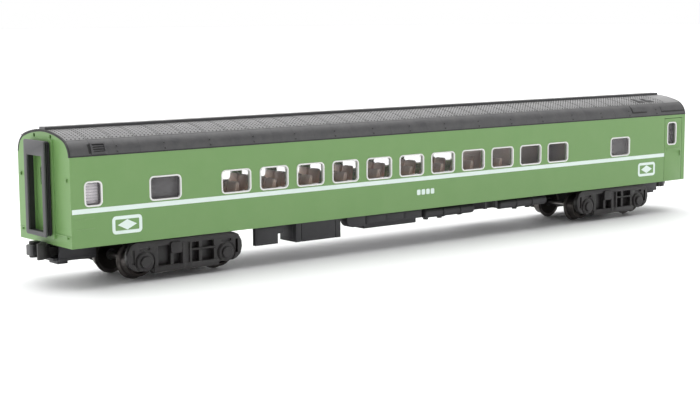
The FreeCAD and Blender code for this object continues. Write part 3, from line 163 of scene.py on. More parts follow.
def make_world():
    """Plain white to the camera; to the surfaces, dimmer in front than behind."""
    world = bpy.data.worlds.new("studio_world")
    world.use_nodes = True
    tree = world.node_tree
    shade = tree.nodes["Background"]
    direction = tree.nodes.new("ShaderNodeTexCoord")
    split = tree.nodes.new("ShaderNodeSeparateXYZ")
    tree.links.new(direction.outputs["Generated"], split.inputs["Vector"])
    glow = tree.nodes.new("ShaderNodeMapRange")
    tree.links.new(split.outputs["Y"], glow.inputs["Value"])
    glow.inputs["From Min"].default_value = -GLOW_SPREAD
    glow.inputs["From Max"].default_value = GLOW_SPREAD
    glow.inputs["To Min"].default_value = FRONT_GLOW
    glow.inputs["To Max"].default_value = BACK_GLOW
    seen = tree.nodes.new("ShaderNodeLightPath")
    strength = tree.nodes.new("ShaderNodeMix")
    tree.links.new(seen.outputs["Is Camera Ray"], strength.inputs["Factor"])
    tree.links.new(glow.outputs["Result"], strength.inputs["A"])
    strength.inputs["B"].default_value = SEEN_GLOW
    tree.links.new(strength.outputs["Result"], shade.inputs["Strength"])
    shade.inputs["Color"].default_value = (1.0, 1.0, 1.0, 1)
    bpy.context.scene.world = world


def make_overhead():
    """Soft light from almost straight above, even over the whole floor."""
    data = bpy.data.lights.new("overhead_soft", "SUN")
    data.energy = OVERHEAD_POWER
    data.angle = OVERHEAD_SPREAD
    light = bpy.data.objects.new("overhead_soft", data)
    light.rotation_euler = OVERHEAD_TURN
    bpy.context.collection.objects.link(light)


def make_studio():
    make_world()
    make_floor()
    make_overhead()
    area_light("front_soft", FRONT_SOFT_PLACE, FRONT_SOFT_TARGET, FRONT_SOFT_SIZE, FRONT_SOFT_POWER)


# ---- shared surface effects ----
# noise values between which a patch fades in
TONE_CUT = (0.35, 0.65)
RUB_CUT = (0.38, 0.58)
DUST_CUT = (0.35, 0.7)
# cosine of the angle to the rounded normal: on a flat face, and on a worn edge
EDGE_TURN = (0.995, 0.86)
EDGE_SAMPLES = 4
DUST_SCALE = 420.0
DUST_ON_WALLS = 0.25
# sockets of a colour mix node
MIX_FACTOR = 0
MIX_FIRST = 6
MIX_SECOND = 7
MIX_RESULT = 2


def new_group(name, inputs, outputs):
    group = bpy.data.node_groups.new(name, "ShaderNodeTree")
    for label, kind, value in inputs:
        socket = group.interface.new_socket(name=label, in_out="INPUT", socket_type=kind)
        socket.default_value = value
    for label, kind in outputs:
        group.interface.new_socket(name=label, in_out="OUTPUT", socket_type=kind)
    return group, group.nodes.new("NodeGroupInput"), group.nodes.new("NodeGroupOutput")


def add_node(tree, kind, **settings):
    node = tree.nodes.new(kind)
    for key, value in settings.items():
        setattr(node, key, value)
    return node


def ranged(tree, value, low, high, to_low=0.0, to_high=1.0):
    """value, spread from low..high to to_low..to_high and kept inside it."""
    spread = tree.nodes.new("ShaderNodeMapRange")
    tree.links.new(value, spread.inputs["Value"])
    spread.inputs["From Min"].default_value = low
    spread.inputs["From Max"].default_value = high
    spread.inputs["To Min"].default_value = to_low
    spread.inputs["To Max"].default_value = to_high
    return spread.outputs["Result"]


def maths(tree, operation, first, second):
    node = add_node(tree, "ShaderNodeMath", operation=operation)
    for socket, value in zip(node.inputs, (first, second)):
        if isinstance(value, float):
            socket.default_value = value
        else:
            tree.links.new(value, socket)
    return node.outputs["Value"]


def mixed(tree, factor, first, second):
    """Colour that goes from first to second with factor."""
    mix = add_node(tree, "ShaderNodeMix", data_type="RGBA")
    tree.links.new(factor, mix.inputs[MIX_FACTOR])
    for socket, colour in ((mix.inputs[MIX_FIRST], first), (mix.inputs[MIX_SECOND], second)):
        if isinstance(colour, tuple):
            socket.default_value = (*colour, 1)
        else:
            tree.links.new(colour, socket)
    return mix.outputs[MIX_RESULT]


def noise(tree, vector, scale, detail=2.0, roughness=0.5):
    texture = tree.nodes.new("ShaderNodeTexNoise")
    tree.links.new(vector, texture.inputs["Vector"])
    if isinstance(scale, float):
        texture.inputs["Scale"].default_value = scale
    else:
        tree.links.new(scale, texture.inputs["Scale"])
    texture.inputs["Detail"].default_value = detail
    texture.inputs["Roughness"].default_value = roughness
    return texture.outputs["Fac"]


def make_moulding_grain():
    """Fine surface grain, and the slow unevenness of sprayed or moulded plastic."""
    group, enter, leave = new_group(
        "moulding_grain",
        [("Grain", "NodeSocketFloat", 2500.0), ("Blotch", "NodeSocketFloat", 180.0)],
        [("Tone", "NodeSocketFloat"), ("Height", "NodeSocketFloat")])
    place = group.nodes.new("ShaderNodeTexCoord").outputs["Object"]
    slow = noise(group, place, enter.outputs["Blotch"], 3.0, 0.6)
    fine = noise(group, place, enter.outputs["Grain"], 3.0, 0.6)
    group.links.new(ranged(group, slow, *TONE_CUT), leave.inputs["Tone"])
    group.links.new(fine, leave.inputs["Height"])
    return group


def make_rubbed_edges():
    """Corners that handling has polished, found by comparing the normal with a rounded one."""
    group, enter, leave = new_group(
        "rubbed_edges",
        [("Radius", "NodeSocketFloat", 0.0001), ("Patches", "NodeSocketFloat", 600.0)],
        [("Edge", "NodeSocketFloat")])
    rounded = add_node(group, "ShaderNodeBevel", samples=EDGE_SAMPLES)
    group.links.new(enter.outputs["Radius"], rounded.inputs["Radius"])
    surface = group.nodes.new("ShaderNodeNewGeometry").outputs["Normal"]
    compare = add_node(group, "ShaderNodeVectorMath", operation="DOT_PRODUCT")
    group.links.new(rounded.outputs["Normal"], compare.inputs[0])
    group.links.new(surface, compare.inputs[1])
    edge = ranged(group, compare.outputs["Value"], *EDGE_TURN)
    place = group.nodes.new("ShaderNodeTexCoord").outputs["Object"]
    patches = ranged(group, noise(group, place, enter.outputs["Patches"]), *RUB_CUT)
    group.links.new(maths(group, "MULTIPLY", edge, patches), leave.inputs["Edge"])
    return group


def make_settled_dust():
    """Light dust, thickest on surfaces that face up."""
    group, enter, leave = new_group(
        "settled_dust",
        [("Colour", "NodeSocketColor", (0.5, 0.5, 0.5, 1)), ("Dust", "NodeSocketColor", (0.4, 0.4, 0.4, 1)),
         ("Amount", "NodeSocketFloat", 0.1)],
        [("Colour", "NodeSocketColor"), ("Mask", "NodeSocketFloat")])
    normal = group.nodes.new("ShaderNodeNewGeometry").outputs["Normal"]
    split = group.nodes.new("ShaderNodeSeparateXYZ")
    group.links.new(normal, split.inputs["Vector"])
    facing_up = ranged(group, split.outputs["Z"], 0.0, 1.0, DUST_ON_WALLS, 1.0)
    place = group.nodes.new("ShaderNodeTexCoord").outputs["Object"]
    patches = ranged(group, noise(group, place, DUST_SCALE, 4.0, 0.65), *DUST_CUT)
    mask = maths(group, "MULTIPLY", maths(group, "MULTIPLY", facing_up, patches), enter.outputs["Amount"])
    dusty = mixed(group, mask, enter.outputs["Colour"], enter.outputs["Dust"])
    group.links.new(dusty, leave.inputs["Colour"])
    group.links.new(mask, leave.inputs["Mask"])
    return group


MOULDING_GRAIN = make_moulding_grain()
RUBBED_EDGES = make_rubbed_edges()
SETTLED_DUST = make_settled_dust()
DUST_GREY = (0.42, 0.41, 0.39)


def placed(tree, group, **values):
    node = add_node(tree, "ShaderNodeGroup", node_tree=group)
    for label, value in values.items():
        node.inputs[label].default_value = value
    return node


# ---- finishes ----
EDGE_RADIUS = 0.1 * MM
BUMP_STRENGTH = 0.5
GRAIN_DEPTH = 0.02 * MM
SEAT_GRAIN_DEPTH = 0.03 * MM
BLIND_RIB_DEPTH = 0.04 * MM
BLIND_RIB_SCALE = 620.0
BLIND_RIB_WAVER = 0.3
GLAZING_IOR = 1.49
SLANT_POWER = 3.0
SLANT_COVER = 0.95
TREAD_INNER_R = 2.62 * MM
TREAD_OUTER_R = 2.82 * MM
SEAT_TAN_UP_TO = 12.8 * MM
SEAT_BROWN_FROM = 16.2 * MM


def new_finish(name, metallic=0.0):
    material = bpy.data.materials.new(name)
    material.use_nodes = True
    shader = material.node_tree.nodes["Principled BSDF"]
    shader.inputs["Metallic"].default_value = metallic
    return material, material.node_tree, shader


def bumped(tree, shader, height, depth):
    bump = tree.nodes.new("ShaderNodeBump")
    bump.inputs["Strength"].default_value = BUMP_STRENGTH
    bump.inputs["Distance"].default_value = depth
    tree.links.new(height, bump.inputs["Height"])
    tree.links.new(bump.outputs["Normal"], shader.inputs["Normal"])


def coated(name, colour, shade, edge, gloss, dust=0.1, grain=2500.0, blotch=180.0, metallic=0.0):
    """Paint, plastic or metal: uneven colour, rubbed edges, dust, and a fine grain."""
    material, tree, shader = new_finish(name, metallic)
    surface = placed(tree, MOULDING_GRAIN, Grain=grain, Blotch=blotch)
    rubbed = placed(tree, RUBBED_EDGES, Radius=EDGE_RADIUS)
    dusty = placed(tree, SETTLED_DUST, Dust=(*DUST_GREY, 1), Amount=dust)
    uneven = mixed(tree, surface.outputs["Tone"], colour, shade)
    worn = mixed(tree, rubbed.outputs["Edge"], uneven, edge)
    tree.links.new(worn, dusty.inputs["Colour"])
    tree.links.new(dusty.outputs["Colour"], shader.inputs["Base Color"])
    smooth = ranged(tree, surface.outputs["Tone"], 0.0, 1.0, gloss[0], gloss[1])
    tree.links.new(maths(tree, "ADD", smooth, dusty.outputs["Mask"]), shader.inputs["Roughness"])
    bumped(tree, shader, surface.outputs["Height"], GRAIN_DEPTH)
    return material


def clear_glazing(name, tint, clearness, smear):
    """Thin clear moulding: seen through face on, and reflecting at a slant."""
    material, tree, shader = new_finish(name)
    shader.inputs["IOR"].default_value = GLAZING_IOR
    surface = placed(tree, MOULDING_GRAIN, Grain=900.0, Blotch=240.0)
    tree.links.new(mixed(tree, surface.outputs["Tone"], tint, smear), shader.inputs["Base Color"])
    slant = tree.nodes.new("ShaderNodeLayerWeight").outputs["Facing"]
    cover = ranged(tree, maths(tree, "POWER", slant, SLANT_POWER), 0.0, 1.0, clearness, SLANT_COVER)
    tree.links.new(cover, shader.inputs["Alpha"])
    tree.links.new(ranged(tree, surface.outputs["Tone"], 0.0, 1.0, 0.04, 0.12), shader.inputs["Roughness"])
    return material


def ribbed_blind(name):
    """Pale blind with fine level ribs, behind the wash room pane."""
    material, tree, shader = new_finish(name)
    place = tree.nodes.new("ShaderNodeTexCoord").outputs["Object"]
    ribs = add_node(tree, "ShaderNodeTexWave", wave_type="BANDS", bands_direction="Z")
    ribs.inputs["Scale"].default_value = BLIND_RIB_SCALE
    ribs.inputs["Distortion"].default_value = BLIND_RIB_WAVER
    tree.links.new(place, ribs.inputs["Vector"])
    surface = placed(tree, MOULDING_GRAIN, Grain=1800.0, Blotch=300.0)
    pale = mixed(tree, surface.outputs["Tone"], (0.95, 0.90, 0.94), (0.88, 0.84, 0.88))
    lined = mixed(tree, ranged(tree, ribs.outputs["Fac"], 0.1, 0.6), (0.66, 0.62, 0.66), pale)
    tree.links.new(lined, shader.inputs["Base Color"])
    tree.links.new(ranged(tree, surface.outputs["Tone"], 0.0, 1.0, 0.5, 0.65), shader.inputs["Roughness"])
    bumped(tree, shader, ribs.outputs["Fac"], BLIND_RIB_DEPTH)
    return material


def wheel_metal(name, centre):
    """Blackened wheel with a tread that running has brightened, ringed about its own axle."""
    material, tree, shader = new_finish(name, 1.0)
    place = tree.nodes.new("ShaderNodeTexCoord").outputs["Object"]
    centred = tree.nodes.new("ShaderNodeMapping")
    centred.inputs["Location"].default_value = (-centre.x, 0, -centre.z)
    tree.links.new(place, centred.inputs["Vector"])
    flat = add_node(tree, "ShaderNodeVectorMath", operation="MULTIPLY")
    flat.inputs[1].default_value = (1, 0, 1)
    tree.links.new(centred.outputs["Vector"], flat.inputs[0])
    reach = add_node(tree, "ShaderNodeVectorMath", operation="LENGTH")
    tree.links.new(flat.outputs["Vector"], reach.inputs[0])
    tread = ranged(tree, reach.outputs["Value"], TREAD_INNER_R, TREAD_OUTER_R)
    surface = placed(tree, MOULDING_GRAIN, Grain=3000.0, Blotch=700.0)
    dark = mixed(tree, surface.outputs["Tone"], (0.022, 0.019, 0.018), (0.040, 0.035, 0.032))
    bright = mixed(tree, surface.outputs["Tone"], (0.15, 0.135, 0.13), (0.09, 0.082, 0.078))
    tree.links.new(mixed(tree, tread, dark, bright), shader.inputs["Base Color"])
    tree.links.new(ranged(tree, surface.outputs["Tone"], 0.0, 1.0, 0.32, 0.5), shader.inputs["Roughness"])
    bumped(tree, shader, surface.outputs["Height"], GRAIN_DEPTH)
    return material


def seat_moulding(name):
    """Tan moulding, washed with a darker brown that leaves the low parts tan."""
    # """Moulding coloured by height: orange-tan low down, a paler pinkish brown higher up, with uneven
    # tone."""
    material, tree, shader = new_finish(name)
    place = tree.nodes.new("ShaderNodeTexCoord").outputs["Object"]
    split = tree.nodes.new("ShaderNodeSeparateXYZ")
    tree.links.new(place, split.inputs["Vector"])
    height = ranged(tree, split.outputs["Z"], SEAT_TAN_UP_TO, SEAT_BROWN_FROM)
    surface = placed(tree, MOULDING_GRAIN, Grain=2200.0, Blotch=500.0)
    uneven = mixed(tree, surface.outputs["Tone"], (0.80, 0.66, 0.58), (0.68, 0.56, 0.50))
    tree.links.new(mixed(tree, height, (0.95, 0.55, 0.34), uneven), shader.inputs["Base Color"])
    tree.links.new(ranged(tree, surface.outputs["Tone"], 0.0, 1.0, 0.5, 0.7), shader.inputs["Roughness"])
    bumped(tree, shader, surface.outputs["Height"], SEAT_GRAIN_DEPTH)
    return material


GREEN = coated("green_paint", (0.180, 0.345, 0.112), (0.192, 0.355, 0.122), (0.28, 0.42, 0.21),
               (0.36, 0.44), 0.05)
ROOF_GREY = coated("roof_grey", (0.054, 0.054, 0.057), (0.066, 0.065, 0.068), (0.12, 0.12, 0.125),
                   (0.30, 0.40), 0.12, blotch=260.0)
# Upper sheets in a grey about twice as light as the roof below: painted reflection of the overhead light on
# the upper roof.
ROOF_PANEL_SHEEN = coated("roof_upper_sheen_grey", (0.115, 0.114, 0.118), (0.140, 0.138, 0.142), (0.2, 0.2, 0.205),
                    (0.24, 0.34), 0.25, blotch=260.0)
# Rivets coloured near-black: painted shade standing in for the small shadows the rivets cast on the roof.
RIVET_PAINTED_SHADE = coated("rivet_painted_shade", (0.018, 0.018, 0.019), (0.028, 0.028, 0.029), (0.06, 0.06, 0.06),
                    (0.4, 0.5), 0.05)
# Near-black for the eave gutter and the end rims, and for the painted shade in the vent and the painted
# shadows beside the hatches and low plates.
ROOF_BLACK_AND_SHADOW = coated("roof_black_and_painted_shadow", (0.012, 0.012, 0.012), (0.02, 0.02, 0.02), (0.03, 0.03, 0.03),
                   (0.5, 0.6), 0.05)
SEAM_GREY = coated("roof_seam_grey", (0.040, 0.040, 0.042), (0.050, 0.050, 0.052), (0.07, 0.07, 0.07),
                   (0.4, 0.5), 0.1)
FRAME_WHITE = coated("frame_white", (0.95, 0.95, 0.92), (0.89, 0.89, 0.87), (0.92, 0.92, 0.91),
                     (0.28, 0.38), 0.05)
PRINT_WHITE = coated("print_white", (0.86, 0.98, 0.93), (0.82, 0.95, 0.89), (0.84, 0.89, 0.87),
                     (0.4, 0.5), 0.05)
PLATE_GREY = coated("plate_grey", (0.064, 0.064, 0.068), (0.080, 0.080, 0.084), (0.17, 0.17, 0.17),
                    (0.42, 0.52), 0.12)
BELLOWS_BLACK = coated("bellows_black", (0.009, 0.009, 0.010), (0.015, 0.015, 0.016), (0.04, 0.04, 0.04),
                       (0.5, 0.62), 0.08, grain=1600.0)
TRAY_TAN = coated("interior_tan", (0.62, 0.44, 0.34), (0.54, 0.38, 0.29), (0.6, 0.44, 0.34), (0.5, 0.62), 0.1)
WALL_PALE = coated("partition_pale", (0.90, 0.74, 0.68), (0.80, 0.66, 0.60), (0.8, 0.7, 0.65),
                   (0.5, 0.62), 0.05)
SEAT_BROWN = seat_moulding("seat_brown")
WEIGHT_STEEL = coated("weight_steel", (0.42, 0.41, 0.40), (0.33, 0.32, 0.31), (0.6, 0.6, 0.58),
                      (0.34, 0.5), 0.1, metallic=1.0)
UNDERFRAME_BLACK = coated("underframe_black", (0.020, 0.019, 0.023), (0.028, 0.027, 0.031),
                          (0.075, 0.073, 0.077), (0.44, 0.54), 0.06)
TRUCK_BLACK = coated("truck_black", (0.014, 0.012, 0.013), (0.024, 0.021, 0.022), (0.13, 0.12, 0.12),
                     (0.34, 0.46), 0.08, blotch=500.0)
COUPLER_BLACK = coated("coupler_black", (0.016, 0.015, 0.015), (0.026, 0.025, 0.025), (0.10, 0.10, 0.10),
                       (0.36, 0.48), 0.08, blotch=700.0)
KNUCKLE_GREY = coated("knuckle_grey", (0.062, 0.062, 0.063), (0.078, 0.078, 0.080), (0.16, 0.16, 0.16),
                      (0.34, 0.46), 0.08, blotch=700.0)
SCREW_STEEL = coated("screw_steel", (0.45, 0.44, 0.42), (0.36, 0.35, 0.34), (0.7, 0.7, 0.68),
                     (0.24, 0.36), 0.05, metallic=1.0)
SPRING_BRONZE = coated("spring_bronze", (0.55, 0.38, 0.2), (0.46, 0.31, 0.16), (0.7, 0.5, 0.3),
                       (0.25, 0.35), 0.05, metallic=1.0)
CUP_BRASS = coated("cup_brass", (0.62, 0.45, 0.2), (0.5, 0.36, 0.16), (0.75, 0.58, 0.3),
                   (0.26, 0.38), 0.08, metallic=1.0)
AXLE_STEEL = coated("axle_steel", (0.36, 0.35, 0.34), (0.28, 0.27, 0.26), (0.5, 0.5, 0.48),
                    (0.28, 0.4), 0.05, metallic=1.0)
BUSH_PLASTIC = coated("bush_plastic", (0.03, 0.03, 0.03), (0.045, 0.045, 0.045), (0.08, 0.08, 0.08),
                      (0.45, 0.55), 0.1)
CLEAR_PANE = clear_glazing("clear_pane", (0.62, 0.60, 0.61), 0.05, (0.52, 0.50, 0.51))
PANE_BACK = coated("pane_back_grey", (0.070, 0.068, 0.071), (0.090, 0.086, 0.090), (0.12, 0.12, 0.12),
                   (0.25, 0.35), 0.05, blotch=220.0)
# Near-black walls of the pane wells: painted shade of the recess behind the pane front.
REVEAL_PAINTED_SHADE = coated("pane_recess_painted_shade", (0.055, 0.05, 0.055), (0.07, 0.065, 0.07), (0.1, 0.1, 0.1),
                     (0.4, 0.5), 0.05)
BLIND_PALE = ribbed_blind("blind_pale")

FINISHES = {
    "green_paint": GREEN, "roof_grey": ROOF_GREY, "frame_white": FRAME_WHITE, "clear_pane": CLEAR_PANE,
    "dark_pane": PANE_BACK, "plate_grey": PLATE_GREY, "bellows_black": BELLOWS_BLACK,
    "interior_tan": TRAY_TAN, "seat_brown": SEAT_BROWN, "weight_steel": WEIGHT_STEEL,
    "underframe_black": UNDERFRAME_BLACK, "screw_steel": SCREW_STEEL, "spring_bronze": SPRING_BRONZE,
    "coupler_black": COUPLER_BLACK, "truck_black": TRUCK_BLACK, "cup_brass": CUP_BRASS,
    "axle_steel": AXLE_STEEL, "bush_plastic": BUSH_PLASTIC,
}
SLOTS = {row["node"]: row["material_slot"] for row in frame["record"]["subparts"]}


def finish_node(node, material):
    mesh = frame["nodes"][node].data
    if not mesh.materials:
        mesh.materials.append(material)
    for index in range(len(mesh.materials)):
        mesh.materials[index] = material


def finish_frame_nodes():
    for node in frame["nodes"]:
        if SLOTS[node] == "wheel_metal":
            low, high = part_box(node)
            finish_node(node, wheel_metal(node + "_metal", (low + high) / 2))
        else:
            finish_node(node, FINISHES[SLOTS[node]])
    finish_node("partitions", WALL_PALE)


# ---- building pieces ----
CREASE = math.radians(35.0)
BEVEL_SEGMENTS = 2
ROUND_SEGMENTS = 16
JOIN_DISTANCE = 0.002 * MM
FLAT_ANGLE = math.radians(1.0)
SHARP_ANGLE = math.radians(38)


def add_piece(name, shape, material, body="root"):
    bmesh.ops.recalc_face_normals(shape, faces=shape.faces)
    mesh = bpy.data.meshes.new(name)
    shape.to_mesh(mesh)
    shape.free()
    for face in mesh.polygons:
        face.use_smooth = True
    mesh.set_sharp_from_angle(angle=CREASE)
    mesh.materials.append(material)
    piece = bpy.data.objects.new(name, mesh)
    bpy.context.collection.objects.link(piece)
    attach(piece, body)
    return piece


def add_block(shape, low, high, edge=0.0):
    """Block between two corners, its edges rounded by edge."""
    low, high = Vector(low), Vector(high)
    place = Matrix.Translation((low + high) / 2) @ Matrix.Diagonal((*(high - low), 1))
    made = bmesh.ops.create_cube(shape, size=1.0, matrix=place)["verts"]
    if edge:
        edges = list({line for corner in made for line in corner.link_edges})
        bmesh.ops.bevel(shape, geom=edges, offset=edge, offset_type="OFFSET", affect="EDGES",
                        segments=BEVEL_SEGMENTS, profile=0.5, material=-1)


def add_round(shape, radius, depth, place, top=None, segments=ROUND_SEGMENTS):
    """Round bar or taper, its axis along place's Z."""
    bmesh.ops.create_cone(shape, cap_ends=True, segments=segments, radius1=radius,
                          radius2=radius if top is None else top, depth=depth, matrix=place)


def facing(point, direction):
    """Place at a point, with Z turned to a direction."""
    return Matrix.Translation(point) @ Vector(direction).to_track_quat("Z", "Y").to_matrix().to_4x4()


def softened(node, edge, material=None):
    """The frame's own piece with its mesh joined up and its sharp edges rounded."""
    shape = bmesh.new()
    shape.from_mesh(frame["nodes"][node].data)
    bmesh.ops.remove_doubles(shape, verts=shape.verts, dist=JOIN_DISTANCE)
    bmesh.ops.dissolve_limit(shape, angle_limit=FLAT_ANGLE, verts=shape.verts, edges=shape.edges)
    sharp = [line for line in shape.edges if line.is_manifold and line.calc_face_angle() > SHARP_ANGLE]
    bmesh.ops.bevel(shape, geom=sharp, offset=edge, offset_type="OFFSET", affect="EDGES",
                    segments=BEVEL_SEGMENTS, profile=0.5, material=-1, clamp_overlap=True)
    piece = add_piece(node + "_softened", shape, material or FINISHES[SLOTS[node]],
                      body_of(frame["nodes"][node])[0])
    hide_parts(node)


# ---- roof: flat shapes of (along, round the curve, above it), wrapped on to it ----
STRIP_SINK = 0.03 * MM
STRIP_STEP = 0.8 * MM
# an edge runs across the strip if it spans at least this share of its width
ACROSS_SHARE = 0.9


def roof_place(along, arc, lift, side):
    """Point on the roof, arc metres round from where the side starts to curve in."""
    if arc < CORNER_ARC:
        angle = arc / CORNER_R
        reach = CORNER_R + lift
        across = CORNER_Y + reach * math.cos(angle)
        return Vector((along, side * across, CORNER_Z + reach * math.sin(angle)))
    lean = CORNER_LEAN - (arc - CORNER_ARC) / CROWN_R
    reach = CROWN_R + lift
    return Vector((along, side * reach * math.sin(lean), CROWN_Z - CROWN_R + reach * math.cos(lean)))


def wrap_on_roof(shape, side):
    for corner in shape.verts:
        corner.co = roof_place(corner.co.x, corner.co.y, corner.co.z, side)


def both_roof_sides(draw, name, material):
    for side, label in ((-1, "near"), (1, "far")):
        shape = bmesh.new()
        draw(shape)
        wrap_on_roof(shape, side)
        add_piece(name + "_" + label, shape, material)


def flat_strip(shape, along, arc, lift, sink=STRIP_SINK):
    """Strip over a rectangle of the roof, divided so that it bends with the curve."""
    low = Vector((along[0], arc[0], -sink))
    high = Vector((along[1], arc[1], lift))
    place = Matrix.Translation((low + high) / 2) @ Matrix.Diagonal((*(high - low), 1))
    made = bmesh.ops.create_cube(shape, size=1.0, matrix=place)["verts"]
    long_way = [line for line in {edge for corner in made for edge in corner.link_edges}
                if abs(line.verts[0].co.y - line.verts[1].co.y) > ACROSS_SHARE * (arc[1] - arc[0])]
    cuts = int((arc[1] - arc[0]) / STRIP_STEP)
    if cuts:
        bmesh.ops.subdivide_edges(shape, edges=long_way, cuts=cuts, use_grid_fill=True)


SEAM_PITCH = 4.75 * MM
SEAM_START = -76.75 * MM
SEAM_COUNT = 33
SEAM_HALF = 0.07 * MM
SEAM_LIFT = 0.02 * MM
STRIP_SEAM_ARC = 3.6 * MM
RIDGE_ARC = 10.15 * MM
PANEL_LIFT = 0.03 * MM
EDGE_WIDTH = 0.22 * MM
CROWN_ARC = CORNER_ARC + CORNER_LEAN * CROWN_R
RIVET_R = 0.16 * MM
RIVET_RISE = 0.09 * MM
RIVET_ROWS = 9
RIVET_FIRST_ARC = 4.0 * MM
RIVET_STEP = 0.72 * MM
RIVETS_IN_BAY = 6
RIVET_SINK = 0.02 * MM
RIVET_TAPER = 0.55
RIVET_SIDES = 6
LOW_RIVET_ARCS = (0.9 * MM, 1.9 * MM)
LOW_RIVET_SHIFT = 0.3 * MM
LOW_RIVET_R = RIVET_R * 1.3
SMALLEST_PANEL = 4 * SEAM_HALF
END_OVERHANG = 0.02 * MM
END_RIM_SINK = 0.34 * MM


def seam_places():
    return [SEAM_START + index * SEAM_PITCH for index in range(SEAM_COUNT)]


def draw_seams(shape):
    for along in seam_places():
        flat_strip(shape, (along - SEAM_HALF, along + SEAM_HALF), (STRIP_SEAM_ARC, RIDGE_ARC),
                   PANEL_LIFT + SEAM_LIFT)
        flat_strip(shape, (along - SEAM_HALF / 2, along + SEAM_HALF / 2), (EAVE_ARC, STRIP_SEAM_ARC),
                   SEAM_LIFT)
    flat_strip(shape, (-HALF_LENGTH, HALF_LENGTH),
               (STRIP_SEAM_ARC - SEAM_HALF, STRIP_SEAM_ARC + SEAM_HALF), SEAM_LIFT)


def draw_upper_panels(shape):
    """Riveted sheets above the seam, one to each bay."""
    edges = [-HALF_LENGTH + EDGE_WIDTH] + seam_places() + [HALF_LENGTH - EDGE_WIDTH]
    for start, end in zip(edges, edges[1:]):
        if end - start > SMALLEST_PANEL:
            flat_strip(shape, (start + SEAM_HALF / 2, end - SEAM_HALF / 2),
                       (STRIP_SEAM_ARC + SEAM_HALF, RIDGE_ARC), PANEL_LIFT)


def draw_edges(shape):
    """Dark gutter along the eave, and dark rims round both ends of the roof."""
    flat_strip(shape, (-HALF_LENGTH, HALF_LENGTH), (EAVE_ARC, EAVE_ARC + EDGE_WIDTH), SEAM_LIFT)
    for start, end in ((-HALF_LENGTH - END_OVERHANG, -HALF_LENGTH + EDGE_WIDTH),
                       (HALF_LENGTH - EDGE_WIDTH, HALF_LENGTH + END_OVERHANG)):
        flat_strip(shape, (start, end), (EAVE_ARC, CROWN_ARC), PANEL_LIFT + SEAM_LIFT, END_RIM_SINK)


def add_rivet(shape, along, arc, radius=RIVET_R):
    place = Matrix.Translation((along, arc, RIVET_RISE / 2 + PANEL_LIFT - RIVET_SINK))
    add_round(shape, radius, RIVET_RISE, place, radius * RIVET_TAPER, RIVET_SIDES)


def draw_rivets(shape):
    """One bay of rivets repeated along the roof, and pairs of larger ones low at every second seam."""
    bay = bmesh.new()
    for column in range(RIVETS_IN_BAY):
        for row in range(RIVET_ROWS):
            add_rivet(bay, SEAM_START + (column - RIVETS_IN_BAY + 0.5) * SEAM_PITCH / RIVETS_IN_BAY,
                      RIVET_FIRST_ARC + row * RIVET_STEP)
    mesh = bpy.data.meshes.new("rivet_bay")
    bay.to_mesh(mesh)
    bay.free()
    for _ in range(SEAM_COUNT):
        shape.from_mesh(mesh)
        mesh.transform(Matrix.Translation((SEAM_PITCH, 0, 0)))
    bpy.data.meshes.remove(mesh)
    for index, along in enumerate(seam_places()):
        if index % 2:
            for arc in LOW_RIVET_ARCS:
                add_rivet(shape, along + LOW_RIVET_SHIFT, arc, LOW_RIVET_R)


def roof_seams_and_rivets():
    # the upper sheets' lighter grey is painted reflection of the overhead light
    both_roof_sides(draw_upper_panels, "roof_upper_panels", ROOF_PANEL_SHEEN)
    both_roof_sides(draw_seams, "roof_seams", SEAM_GREY)
    both_roof_sides(draw_edges, "roof_edges", ROOF_BLACK_AND_SHADOW)
    # the rivets' near-black colour is painted shade
    both_roof_sides(draw_rivets, "roof_rivets", RIVET_PAINTED_SHADE)


VENT_ALONG = (-76.8 * MM, -73.85 * MM)
VENT_ARC = (0.67 * MM, 2.63 * MM)
VENT_POST = 0.35 * MM
VENT_SILL = 0.3 * MM
VENT_HEAD = 0.25 * MM
VENT_RIM_LIFT = 0.26 * MM
VENT_SLATS = 3
VENT_FIRST_SLAT = 0.48 * MM
VENT_SLAT_STEP = 0.4 * MM
VENT_SLAT_WIDTH = 0.16 * MM
VENT_SLAT_LIFT = 0.14 * MM
HATCHES_ALONG = ((67.0 * MM, 69.4 * MM), (70.0 * MM, 72.4 * MM))
HATCH_ARC = (4.6 * MM, 7.0 * MM)
HATCH_LIFT = 0.14 * MM
HATCH_LID_IN = 0.4 * MM
HATCH_LID_ARC = (5.0 * MM, 6.6 * MM)
HATCH_LID_LIFT = 0.24 * MM
LINE_LIFT = 0.03 * MM
# dark strips on the -X side and below each hatch: painted shadows cast by the hatches
HATCH_SHADOWS_FROM = (66.75 * MM, 69.75 * MM)
HATCH_SHADOW_WIDTH = 0.25 * MM
HATCH_SHADOW_LENGTH = 2.6 * MM
HATCH_SHADOW_ARC = (4.35 * MM, 4.6 * MM)
# strips of (along), (round the curve), lift
# the first strip fills the vent opening as painted shade of the hollow under the slats; the second, on the
# vent's -X side, is a painted shadow of the vent
VENT_SHADE_STRIPS = (
    ((-76.5 * MM, -74.15 * MM), (0.9 * MM, 2.45 * MM), 0.05 * MM),
    ((-77.25 * MM, -76.85 * MM), (0.8 * MM, 2.5 * MM), LINE_LIFT),
)
LOW_PLATES = (
    ((62.6 * MM, 67.2 * MM), (1.55 * MM, 2.7 * MM), 0.10 * MM),
    ((72.6 * MM, 79.6 * MM), (1.45 * MM, 2.6 * MM), 0.10 * MM),
)
# dark strips on the -X side and below the low plates: painted shadows cast by the plates
LOW_PLATE_SHADOWS = (
    ((62.25 * MM, 62.6 * MM), (1.3 * MM, 3.3 * MM), LINE_LIFT),
    ((62.25 * MM, 67.3 * MM), (1.25 * MM, 1.5 * MM), LINE_LIFT),
    ((72.4 * MM, 80.6 * MM), (1.1 * MM, 1.42 * MM), LINE_LIFT),
)


def draw_strips(shape, strips):
    for along, arc, lift in strips:
        flat_strip(shape, along, arc, lift)


